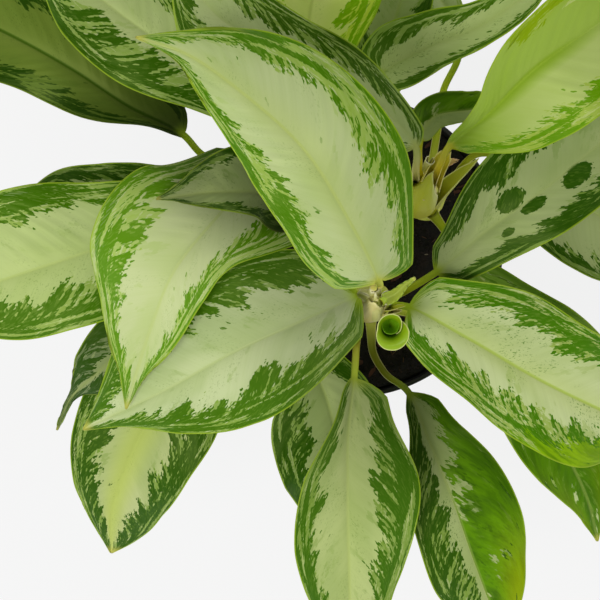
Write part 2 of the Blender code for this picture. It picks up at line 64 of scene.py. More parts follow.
FLOOR_FILLET = 1.0
FLOOR_THICKNESS = 2.4
STACK_STEP_HEIGHT = 112.0
STACK_STEP_DEPTH = 0.6
BAND_LEDGE = 0.5
WAIST_HEIGHT = 60.0
HEEL_HEIGHT = 4.0
FOOT_BEND = 1.8
FOOT_RING = 5.0
FOOT_RECESS = 0.8
DRAIN_HOLES = 8
DRAIN_HOLE_RADIUS = 4.5
DRAIN_RING_RADIUS = 44.0
DRILL_LENGTH = 10.0
POT_SEGMENTS = 160


def sign(operation, swapped=False):
    """Method that adds a Math node for a sign between a node's output and another value."""
    def join(one, other):
        return calc(operation, other, one) if swapped else calc(operation, one, other)
    return join


class Value:
    """Output of a node. It can stand in a formula, where each sign adds a Math node to its tree."""
    __add__ = __radd__ = sign("ADD")
    __mul__ = __rmul__ = sign("MULTIPLY")
    __sub__, __rsub__ = sign("SUBTRACT"), sign("SUBTRACT", True)
    __truediv__, __rtruediv__ = sign("DIVIDE"), sign("DIVIDE", True)
    __pow__, __gt__, __lt__ = sign("POWER"), sign("GREATER_THAN"), sign("LESS_THAN")

    def __init__(self, socket):
        self.socket = socket
        self.tree = socket.id_data

    def __abs__(self):
        return calc("ABSOLUTE", self)

    def beside(self, output):
        """Another output of the same node."""
        return Value(self.socket.node.outputs[output])


def feed(socket, value):
    """Gives a socket a plain value, or links it to the output that feeds it."""
    if isinstance(value, Value):
        value.tree.links.new(value.socket, socket)
    else:
        socket.default_value = value


def put(kind, inputs=None, output=0, tree=None, **settings):
    """Adds a node, to the tree of its inputs if none is named, and gives one of its outputs."""
    inputs = inputs or {}
    node = (tree or next(v.tree for v in inputs.values() if isinstance(v, Value))).nodes.new(kind)
    for key, value in settings.items():
        setattr(node, key, value)
    for key, value in inputs.items():
        feed(node.inputs[key], value)
    return Value(node.outputs[output])


def calc(operation, *values):
    """Result of a Math node."""
    return put("ShaderNodeMath", dict(enumerate(values)), operation=operation)


def remap(value, low, high, new_low=0.0, new_high=1.0, kind="LINEAR"):
    """Scaling of a value from one range to another, held inside it."""
    return put("ShaderNodeMapRange", {"Value": value, "From Min": low, "From Max": high, "To Min": new_low,
                                      "To Max": new_high}, "Result", interpolation_type=kind)


def fade(value, low, high):
    """Soft step from 0 to 1 as a value goes from low to high."""
    return remap(value, low, high, kind="SMOOTHSTEP")


def colour(red, green, blue):
    """Linear colour from the 0 to 255 values that a painter or a screen gives."""
    shares = [value / 255 for value in (red, green, blue)]
    return (*[s / 12.92 if s <= 0.04045 else ((s + 0.055) / 1.055) ** 2.4 for s in shares], 1.0)


def layered(tone, *layers):
    """Colour under layers of other colours. Each layer is how far it covers, and its colour."""
    for cover, layer in layers:
        layer = colour(*layer) if isinstance(layer, tuple) else layer
        tone = colour(*tone) if isinstance(tone, tuple) else tone
        tone = put("ShaderNodeMix", {0: cover, 6: tone, 7: layer}, 2, data_type="RGBA")
    return tone


def level(place):
    """Upright part of a vector."""
    return put("ShaderNodeSeparateXYZ", {0: place}, "Z")


def noise(place, scale=1.0, detail=2.0, roughness=0.5):
    """Cloudy value round 0.5."""
    return put("ShaderNodeTexNoise", {"Vector": place, "Scale": scale, "Detail": detail,
                                      "Roughness": roughness}, "Fac")


def new_group(name, kind, inputs, outputs):
    """Node group: its tree, its inputs as values and its output sockets.

    Each input is told by its usual number or, if it has none, by its kind of socket.
    """
    tree = bpy.data.node_groups.new(name, kind)
    for label, usual in inputs.items():
        socket = usual if isinstance(usual, str) else type(usual).__name__.title()
        item = tree.interface.new_socket(name=label, in_out="INPUT", socket_type="NodeSocket" + socket)
        if socket != usual:
            item.default_value = usual
    for label, socket in outputs.items():
        tree.interface.new_socket(name=label, in_out="OUTPUT", socket_type="NodeSocket" + socket)
    given = tree.nodes.new("NodeGroupInput").outputs
    return tree, {label: Value(given[label]) for label in inputs}, tree.nodes.new("NodeGroupOutput").inputs


def new_material(name):
    """Empty Principled material, and the Object coordinates in it."""
    material = bpy.data.materials.new(name)
    material.use_nodes = True
    return material, put("ShaderNodeTexCoord", None, "Object", material.node_tree)


def bump(height, strength, depth):
    """Small relief of a surface, up to a depth."""
    return put("ShaderNodeBump", {"Strength": strength, "Distance": depth * MM, "Height": height})


def coat(material, tone, roughness, values):
    """Feeds a material's shader: its colour, its roughness and others of its inputs."""
    shader = material.node_tree.nodes["Principled BSDF"].inputs
    for label, value in {"Base Color": tone, "Roughness": roughness, **values}.items():
        feed(shader[label], value)
    return material


def new_object(name, data):
    """New object in the scene."""
    body = bpy.data.objects.new(name, data)
    bpy.context.scene.collection.objects.link(body)
    return body


def new_body(name, bm, material):
    """Object from a bmesh in millimetres."""
    bmesh.ops.scale(bm, vec=(MM, MM, MM), verts=bm.verts)
    mesh = bpy.data.meshes.new(name)
    bm.to_mesh(mesh)
    bm.free()
    mesh.materials.append(material)
    return new_object(name, mesh)


def worked_mesh(body):
    """Plain mesh that an object's modifiers make of it. They are then taken off."""
    bpy.context.view_layer.update()
    mesh = bpy.data.meshes.new_from_object(body.evaluated_get(bpy.context.evaluated_depsgraph_get()))
    body.modifiers.clear()
    return mesh


def hand_over(body, node):
    """The body takes a frame node's place, which is hidden, and stays with the plant."""
    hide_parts(node)
    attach(body, "root")


def grain_group():
    """Fine surface of moulded or earthy things: a height, and cloudy patches for colour and gloss."""
    tree, given, out = new_group("surface_grain", "ShaderNodeTree", {
        "Place": "Vector", "Grain Size": 0.5, "Patch Size": 20.0}, {"Height": "Float", "Patches": "Float"})
    feed(out["Height"], noise(given["Place"], 1000.0 / given["Grain Size"], 3.0, 0.6))
    feed(out["Patches"], noise(given["Place"], 1000.0 / given["Patch Size"], 4.0, 0.6))
    return tree


SURFACE_GRAIN = grain_group()


def grain(place, grain_size, patch_size):
    """Height and patches of the surface grain in a material."""
    height = put("ShaderNodeGroup", {"Place": place, "Grain Size": grain_size, "Patch Size": patch_size},
                 "Height", node_tree=SURFACE_GRAIN)
    return height, height.beside("Patches")


def pot_plastic():
    """Near-black plastic with a satin skin, rubbed duller in patches and dusty low on the wall."""
    material, place = new_material("black_pot_plastic")
    height, patches = grain(place, 0.7, 24.0)
    dust = fade(level(place), 0.05, 0.0) * fade(patches, 0.4, 0.7) * 0.35
    return coat(material, layered((24, 24, 26), (dust, (88, 78, 66))), remap(patches, 0.3, 0.7, 0.34, 0.55),
                {"Normal": bump(height, 0.12, 0.2)})


def wall_radius(height):
    """Outer radius of the pot's sloped wall at a height."""
    return FOOT_RADIUS + (RIM_RADIUS - RIM_OVERHANG - FOOT_RADIUS) * height / POT_HEIGHT


def arc(centre, radius, start, end, steps=6):
    """Points of an arc in a profile, between two angles in degrees."""
    angles = [math.radians(start + (end - start) * step / steps) for step in range(steps + 1)]
    return [(centre[0] + radius * math.cos(a), centre[1] + radius * math.sin(a)) for a in angles]


def turned(name, profile, material):
    """Body of revolution round +Z. The profile runs down the outer side and back up the inside."""
    bm = bmesh.new()
    verts = [bm.verts.new((radius, 0.0, height)) for radius, height in profile]
    for a, b in zip(verts, verts[1:]):
        bm.edges.new((a, b))
    body = new_body(name, bm, material)
    screw = body.modifiers.new("turn", "SCREW")
    screw.steps = screw.render_steps = POT_SEGMENTS
    screw.use_merge_vertices = True
    screw.merge_threshold = 0.00001
    body.data = worked_mesh(body)
    return body


def drill(body, x, y, radius):
    """Cuts one plain upright hole through the pot's floor."""
    bm = bmesh.new()
    bmesh.ops.create_cone(bm, cap_ends=True, segments=32, radius1=radius, radius2=radius,
                          depth=DRILL_LENGTH)
    bmesh.ops.translate(bm, vec=(x, y, 1.0), verts=bm.verts)
    cutter = new_body("drill", bm, body.data.materials[0])
    cut = body.modifiers.new("cut", "BOOLEAN")
    cut.object = cutter
    cut.solver = "EXACT"
    body.data = worked_mesh(body)
    bpy.data.objects.remove(cutter)


def make_pot():
    """Pot with rounded lip, rim band, stacking step, foot ring and drain holes."""
    lip = LIP_RADIUS
    band_foot = POT_HEIGHT - RIM_BAND_HEIGHT
    step = STACK_STEP_HEIGHT
    outside = arc((RIM_RADIUS - lip, POT_HEIGHT - lip), lip, 90, 0)
    outside += arc((RIM_RADIUS - lip, band_foot + lip), lip, 0, -90)
    outside += [(wall_radius(band_foot) + BAND_LEDGE, band_foot - 0.1),
                (wall_radius(band_foot - 1.0), band_foot - 1.0),
                (wall_radius(step), step), (wall_radius(step) - STACK_STEP_DEPTH, step - 0.8),
                (wall_radius(WAIST_HEIGHT) - 0.5, WAIST_HEIGHT), (wall_radius(HEEL_HEIGHT), HEEL_HEIGHT)]
    outside += arc((FOOT_RADIUS - FOOT_BEND, FOOT_BEND), FOOT_BEND, 0, -90)
    outside += [(FOOT_RADIUS - FOOT_RING, 0.0), (FOOT_RADIUS - FOOT_RING - FOOT_RECESS, FOOT_RECESS),
                (0.0, FOOT_RECESS)]
    inside = [(0.0, FLOOR_THICKNESS),
              (wall_radius(FLOOR_THICKNESS) - POT_WALL - FLOOR_FILLET, FLOOR_THICKNESS),
              (wall_radius(70.0) - POT_WALL, 70.0)]
    inside += arc((wall_radius(POT_HEIGHT) - POT_WALL + lip, POT_HEIGHT - lip), lip, 180, 90)
    pot = turned("pot_shell", outside + inside + outside[:1], pot_plastic())
    for number in range(DRAIN_HOLES):
        turn = 2 * math.pi * number / DRAIN_HOLES
        drill(pot, DRAIN_RING_RADIUS * math.cos(turn), DRAIN_RING_RADIUS * math.sin(turn), DRAIN_HOLE_RADIUS)
    pot.data.shade_smooth()
    pot.data.set_sharp_from_angle(angle=math.radians(35))
    hand_over(pot, "pot")


make_pot()

# Potting mix: dark peat and composted bark that fills the pot to just under the lip. Its top is a lumpy
# field, and a Geometry Nodes tree strews bark chips, crumbs and grit on it. The field's larger lumps
# follow the same formula as the frame's solid.
SOIL_LEVEL = 136.0
SOIL_LUMP = 2.2
SOIL_SETBACK = 0.8
SOIL_BANK = 7.0
SOIL_BANK_WIDTH = 14.0
SOIL_RINGS = 60
SOIL_SIDES = 180
SOIL_CHIPS = 26
CHIP_SPREAD = 70.0
CHIP_LENGTHS = (4.0, 8.0)
CHIP_WIDTH = 3.0
CHIP_HEIGHT = 2.4
CRUMB_HEIGHT = 1.5
MOUND_HEIGHT = 2.0
MOUND_AREA = 130.0

# Each cane's place in the mix, which is mounded round it, and the centre of its top.
CANES = {
    "a": ((10.0, -30.0), (6.0, -33.0, 296.0)),
    "b": ((38.0, 24.0), (35.0, 22.0, 262.0)),
    "c": ((-30.0, 24.0), (-32.0, 27.0, 262.0)),
    "d": ((-10.0, 46.0), (-13.0, 48.0, 252.0)),
}


def peat():
    """Nearly black moist peat, crumbly, with browner patches."""
    material, place = new_material("dark_peat")
    height, patches = grain(place, 1.6, 9.0)
    tone = layered((14, 9, 8), (fade(patches, 0.45, 0.75), (36, 24, 19)))
    return coat(material, tone, 0.92, {"Normal": bump(height, 0.9, 1.2)})


def masks_of(tree, *labels):
    """Masks that the mesh holds, as values in its material."""
    return [put("ShaderNodeAttribute", None, "Fac", tree, attribute_name=label) for label in labels]


def strewn_material(name, dark, light, roughness):
    """Bark or grit: each bit has its own tone between a dark and a light one."""
    material, place = new_material(name)
    height, patches = grain(place, 0.8, 3.0)
    share, = masks_of(place.tree, "tone")
    tone = layered(dark, (share * 0.75 + patches * 0.3, light))
    return coat(material, tone, roughness, {"Normal": bump(height, 0.6, 0.4)})


def vector(x, y, z):
    """Vector from three values."""
    return put("ShaderNodeCombineXYZ", {0: x, 1: y, 2: z})


def pushed(geometry, scale, detail, height):
    """Geometry whose points are pushed about by a noise of the given fineness and height."""
    place = put("GeometryNodeInputPosition", tree=geometry.tree)
    push = put("ShaderNodeTexNoise", {"Vector": place, "Scale": scale, "Detail": detail}, "Color")
    push = put("ShaderNodeVectorMath", {0: push, 1: (0.5, 0.5, 0.5)}, operation="SUBTRACT")
    push = put("ShaderNodeVectorMath", {0: push, "Scale": height}, operation="SCALE")
    return put("GeometryNodeSetPosition", {"Geometry": geometry, "Offset": push})


def end_tree(geometry, given, out):
    """Ends a Geometry Nodes tree with real geometry in the given material."""
    real = put("GeometryNodeRealizeInstances", {"Geometry": geometry})
    feed(out["Geometry"], put("GeometryNodeSetMaterial", {"Geometry": real, "Material": given["Material"]}))


def strewing_tree():
    """Geometry Nodes tree that strews rough bits over the upper faces of a field."""
    tree, given, out = new_group("strewn_bits", "GeometryNodeTree", {
        "Geometry": "Geometry", "Bits Per Square Metre": 20000.0, "Length": 0.006, "Width": 0.003,
        "Thickness": 0.0015, "Tilt": 0.5, "Roughening": 0.0008, "Reach": 0.075, "Seed": 1,
        "Material": "Material"}, {"Geometry": "Geometry"})

    def product(first, second):
        """Vector of two vectors' products, part by part."""
        return put("ShaderNodeVectorMath", {0: first, 1: second}, operation="MULTIPLY")

    def drawn(shift, low, high):
        """Random vector of each bit."""
        return put("FunctionNodeRandomValue", {"Seed": given["Seed"] + shift, 0: low, 1: high},
                   data_type="FLOAT_VECTOR")

    facing = level(put("GeometryNodeInputNormal", tree=tree))
    place = product(put("GeometryNodeInputPosition", tree=tree), (1.0, 1.0, 0.0))
    spread = put("ShaderNodeVectorMath", {0: place}, "Value", operation="LENGTH")
    points = put("GeometryNodeDistributePointsOnFaces", {
        "Mesh": given["Geometry"], "Density": given["Bits Per Square Metre"], "Seed": given["Seed"],
        "Selection": (facing > 0.4) * (spread < given["Reach"]) > 0.5})
    tone = put("FunctionNodeRandomValue", {"Seed": given["Seed"]}, 1, data_type="FLOAT")
    toned = put("GeometryNodeStoreNamedAttribute", {"Geometry": points, "Name": "tone", "Value": tone},
                data_type="FLOAT", domain="POINT")
    scale = product(drawn(7.0, (0.45, 0.45, 0.45), (1.25, 1.1, 1.0)),
                    vector(given["Length"], given["Width"], given["Thickness"]))
    lean = product(drawn(3.0, (-1.0, -1.0, -4.0), (1.0, 1.0, 4.0)), vector(given["Tilt"], given["Tilt"], 1.0))
    lump = put("GeometryNodeMeshIcoSphere", {"Radius": 0.5, "Subdivisions": 2}, "Mesh", tree)
    strewn = put("GeometryNodeInstanceOnPoints", {
        "Points": toned, "Instance": lump, "Rotation": put("FunctionNodeEulerToRotation", {0: lean}),
        "Scale": scale})
    bits = pushed(put("GeometryNodeRealizeInstances", {"Geometry": strewn}), 420.0, 1.0, given["Roughening"])
    end_tree(put("GeometryNodeSetShadeSmooth", {"Geometry": bits, "Shade Smooth": False}), given, out)
    return tree


def grown_mesh(body, tree, values):
    """Plain mesh that a Geometry Nodes tree with the named inputs makes of a body."""
    modifier = body.modifiers.new(tree.name, "NODES")
    modifier.node_group = tree
    for item in tree.interface.items_tree:
        if item.in_out == "INPUT" and item.name in values:
            modifier[item.identifier] = values[item.name]
    return worked_mesh(body)


def field_height(x, y, chips):
    """Height of the potting mix: low lumps, a bank at the wall, and long chips raised from it."""
    lumps = np.sin(x * 0.23 + 1.0) * np.cos(y * 0.19) + 0.6 * np.sin(x * 0.11 - y * 0.31)
    height = SOIL_LEVEL + SOIL_LUMP * 0.5 * lumps
    edge = wall_radius(SOIL_LEVEL + SOIL_BANK) - POT_WALL
    up_bank = np.clip(1.0 - (edge - np.hypot(x, y)) / SOIL_BANK_WIDTH, 0.0, 1.0)
    height = height + SOIL_BANK * up_bank * up_bank * (3 - 2 * up_bank)
    for chip_x, chip_y, angle, length in chips:
        along = (x - chip_x) * math.cos(angle) + (y - chip_y) * math.sin(angle)
        across = (y - chip_y) * math.cos(angle) - (x - chip_x) * math.sin(angle)
        height = height + CHIP_HEIGHT * np.exp(-(along / length) ** 2 - (across / CHIP_WIDTH) ** 2)
    return height


def soil_field():
    """Closed body of the potting mix: fine rings of crumbs on top, then a plain side and underside."""
    draw = random.Random(11)
    chips = []
    for _ in range(SOIL_CHIPS):
        radius = CHIP_SPREAD * math.sqrt(draw.random())
        around = draw.uniform(0.0, 2 * math.pi)
        chips.append((radius * math.cos(around), radius * math.sin(around), draw.uniform(0.0, math.pi),
                      draw.uniform(*CHIP_LENGTHS)))
    edge = wall_radius(SOIL_LEVEL + SOIL_BANK) - POT_WALL - SOIL_SETBACK
    foot = wall_radius(FLOOR_THICKNESS) - POT_WALL - SOIL_SETBACK - FLOOR_FILLET
    crumbs = np.random.default_rng(5)
    angles = np.arange(SOIL_SIDES) * 2 * math.pi / SOIL_SIDES
    bm = bmesh.new()
    rings = []
    for number in range(1, SOIL_RINGS + 1):
        radius = edge * number / SOIL_RINGS
        x = radius * np.cos(angles)
        y = radius * np.sin(angles)
        z = field_height(x, y, chips) + CRUMB_HEIGHT * (crumbs.random(SOIL_SIDES) - 0.7)
        for (foot_x, foot_y), _ in CANES.values():
            z = z + MOUND_HEIGHT * np.exp(-((x - foot_x) ** 2 + (y - foot_y) ** 2) / MOUND_AREA)
        rings.append([bm.verts.new(point) for point in zip(x, y, z)])
    rings.append([bm.verts.new((foot * math.cos(turn), foot * math.sin(turn), FLOOR_THICKNESS + 0.4))
                  for turn in angles])
    middle = bm.verts.new((0.0, 0.0, SOIL_LEVEL))
    for number in range(SOIL_SIDES):
        after = (number + 1) % SOIL_SIDES
        bm.faces.new((middle, rings[0][number], rings[0][after]))
        for inner, outer in zip(rings, rings[1:]):
            bm.faces.new((inner[number], outer[number], outer[after], inner[after]))
    bm.faces.new(rings[-1][::-1])
    bmesh.ops.recalc_face_normals(bm, faces=bm.faces)
    return bm


STREWING = strewing_tree()
SOIL = new_body("soil_mix", soil_field(), peat())
SOIL.data.shade_smooth()

# Kinds of bits: their number on a square metre, length, width, thickness, tilt and seed, then the name,
# dark and light colour and roughness of their material.
STREWN = {
    "soil_bark_chips": (5000.0, 7.5, 3.6, 1.6, 0.45, 3, "bark", (22, 14, 12), (92, 52, 34), 0.85),
    "soil_crumbs": (60000.0, 2.6, 2.2, 1.8, 1.0, 8, "peat_crumbs", (12, 8, 8), (36, 25, 21), 0.95),
    "soil_fibres": (4000.0, 9.0, 0.7, 0.6, 0.5, 21, "root_fibre", (30, 20, 15), (96, 66, 44), 0.85),
    "soil_grit": (500.0, 2.2, 2.0, 1.6, 1.0, 14, "grit", (80, 62, 46), (150, 138, 120), 0.85),
}
for name, (bits, length, width, thickness, tilt, seed, *finish) in STREWN.items():
    body = new_object(name, SOIL.data.copy())
    body.data = grown_mesh(body, STREWING, {
        "Bits Per Square Metre": bits, "Length": length * MM, "Width": width * MM,
        "Thickness": thickness * MM, "Tilt": tilt, "Roughening": width * 0.3 * MM, "Seed": seed,
        "Material": strewn_material(*finish),
        "Reach": (wall_radius(SOIL_LEVEL) - POT_WALL - 0.5 * length) * MM})
    hand_over(body, "soil")
hand_over(SOIL, "soil")

# Canes: four short fleshy stems, cream to olive, ringed where old leaves have dropped. A Geometry Nodes
# tree sweeps a circle along each stem's line and swells it at every scar.
CANE_RADIUS = 6.0
CANE_ROOT_DEPTH = 60.0
CANE_UPRIGHT = 4.0
SCAR_SPACING = 16.0
SCAR_HEIGHT = 0.7
GAP = 0.35


def most(first, *others):
    """The largest of several values."""
    for other in others:
        first = calc("MAXIMUM", first, other)
    return first


def cane_skin():
    """Cream to olive stem skin, darker and corky at the scars and low down."""
    material, place = new_material("cane_skin")
    height, patches = grain(place, 1.2, 7.0)
    scar, = masks_of(place.tree, "scar")
    skin = layered((120, 112, 62), (fade(level(place), 0.15, 0.27), (196, 182, 126)),
                   (fade(patches, 0.5, 0.7) * 0.5, (150, 150, 70)),
                   (fade(scar, 0.3, 0.9) * 0.7, (112, 84, 48)))
    return coat(material, skin, remap(patches, 0.3, 0.7, 0.45, 0.65), {"Normal": bump(height, 0.25, 0.4)})


def cane_tree():
    """Geometry Nodes tree: a stem swept along its line, with a swelling at every leaf scar."""
    tree, given, out = new_group("ringed_cane", "GeometryNodeTree", {
        "Geometry": "Geometry", "Radius": 0.006, "Scar Height": 0.0007, "Scar Spacing": 0.016,
        "First Scar": 0.07, "Material": "Material"}, {"Geometry": "Geometry"})
    line = put("GeometryNodeResampleCurve", {"Curve": given["Geometry"], "Length": 0.0008}, mode="LENGTH")
    share = put("GeometryNodeSplineParameter", None, "Factor", tree)
    past = share.beside("Length") - given["First Scar"]
    from_scar = abs(calc("FRACT", past / given["Scar Spacing"] + 0.5) - 0.5)
    scar = fade(from_scar, 0.1, 0.0) * (past > -0.004)
    marked = put("GeometryNodeStoreNamedAttribute", {"Geometry": line, "Name": "scar", "Value": scar},
                 data_type="FLOAT", domain="POINT")
    tip = remap(share, 0.9, 1.0, 1.0, 0.0) ** 0.8
    ring = put("GeometryNodeCurvePrimitiveCircle", {"Resolution": 28, "Radius": 1.0}, "Curve", tree)
    swept = put("GeometryNodeCurveToMesh", {
        "Curve": marked, "Profile Curve": ring, "Fill Caps": True,
        "Scale": (given["Radius"] + scar * given["Scar Height"]) * most(tip, 0.12)}, "Mesh")
    end_tree(pushed(swept, 120.0, 2.0, 0.0006), given, out)
    return tree


def make_cane(cane, tree, material):
    """One cane, from its buried foot to its rounded top."""
    foot, top = CANES[cane]
    line = bpy.data.curves.new("cane_%s_line" % cane, "CURVE")
    line.dimensions = "3D"
    spline = line.splines.new("POLY")
    spline.points.add(2)
    stops = ((*foot, SOIL_LEVEL - CANE_ROOT_DEPTH), (*foot, SOIL_LEVEL + CANE_UPRIGHT), top)
    for point, (x, y, z) in zip(spline.points, stops):
        point.co = (x * MM, y * MM, z * MM, 1.0)
    rod = new_object("cane_%s_line" % cane, line)
    mesh = grown_mesh(rod, tree, {
        "Radius": CANE_RADIUS * MM, "Scar Height": SCAR_HEIGHT * MM, "Scar Spacing": SCAR_SPACING * MM,
        "First Scar": (CANE_ROOT_DEPTH + CANE_UPRIGHT + SCAR_SPACING * 0.5) * MM, "Material": material})
    bpy.data.objects.remove(rod)
    mesh.shade_smooth()
    hand_over(new_object("cane_%s_stem" % cane, mesh), "cane_" + cane)


CANE_TREE = cane_tree()
CANE_SKIN = cane_skin()
for cane_name in CANES:
    make_cane(cane_name, CANE_TREE, CANE_SKIN)

# Leaves: each grew as one piece, a sheath that clasps its cane, a channelled petiole and a broad
# waved blade with one midrib. Each is a closed skin over the same named points as its solid in the
# frame, and a Geometry Nodes tree raises the lateral veins on it.
BLADE_ROWS = 110
STALK_STEP = 2.2
SIDE_COLUMNS = 16
RIB_COLUMNS = 3
RIM_COLUMNS = 3
RIB_BAND, RIB_BAND_LOSS = 2.6, 1.6
RIM_BAND = 1.2
PETIOLE_RADIUS = 2.4
SHEATH_HEIGHT = 22.0
SHEATH_WRAP, SHEATH_OPENING = 150, 80
SHEATH_FLARE = 1.8
SHEATH_RIM, SHEATH_BODY = 0.35, 1.5
WING_HEIGHT, WING_EDGE = 1.5, 0.25
CLASP_LOW, CLASP_HIGH = 12.0, 34.0
STATIONS = (0.12, 0.30, 0.50, 0.70, 0.88)
TIP_HALF_WIDTH = 0.5
MARGIN_THICKNESS = 0.28
BODY_THICKNESS = 0.3
RIDGE_DEPTH, RIDGE_LOSS = 2.4, 1.9
CURVE_STEPS = 40
BLADE_BLEND = 0.06
LOBE_SHARE = 0.3
LEFT_WAVE_SHIFT = 1.9
RIPPLES, RIPPLE_HEIGHT = 7.3, 0.45
VEIN_SPACING = 8.0
VEIN_HEIGHT = 0.32
PUCKER_HEIGHT = 1.6
CELL_WIDTH = 1.1
CELL_LENGTH = 2.6


def leaf_row(cane, start, via, rib, left, right, roll=(0, 0), cup=(8, 8), curl=-14, lobe=7,
             wave=(2.5, 2.5, 0)):
    """One leaf.

    start: height on its cane and compass angle where its petiole leaves; via: points of the petiole.
    rib: points of the blade's midrib, from base to tip.
    left, right: half widths at STATIONS, seen from above and looking from base to tip.
    roll: degrees that the right side is lifted, at base and tip; cup: degrees that the left and
    right halves rise beside the rib; curl: degrees that they bend by the margin.
    lobe: how far the base's round lobes reach back; wave: height, number and phase of margin waves.
    """
    return dict(cane=cane, start=start, via=via, rib=rib, left=left, right=right, roll=roll,
                cup=cup, curl=curl, lobe=lobe, wave=wave)


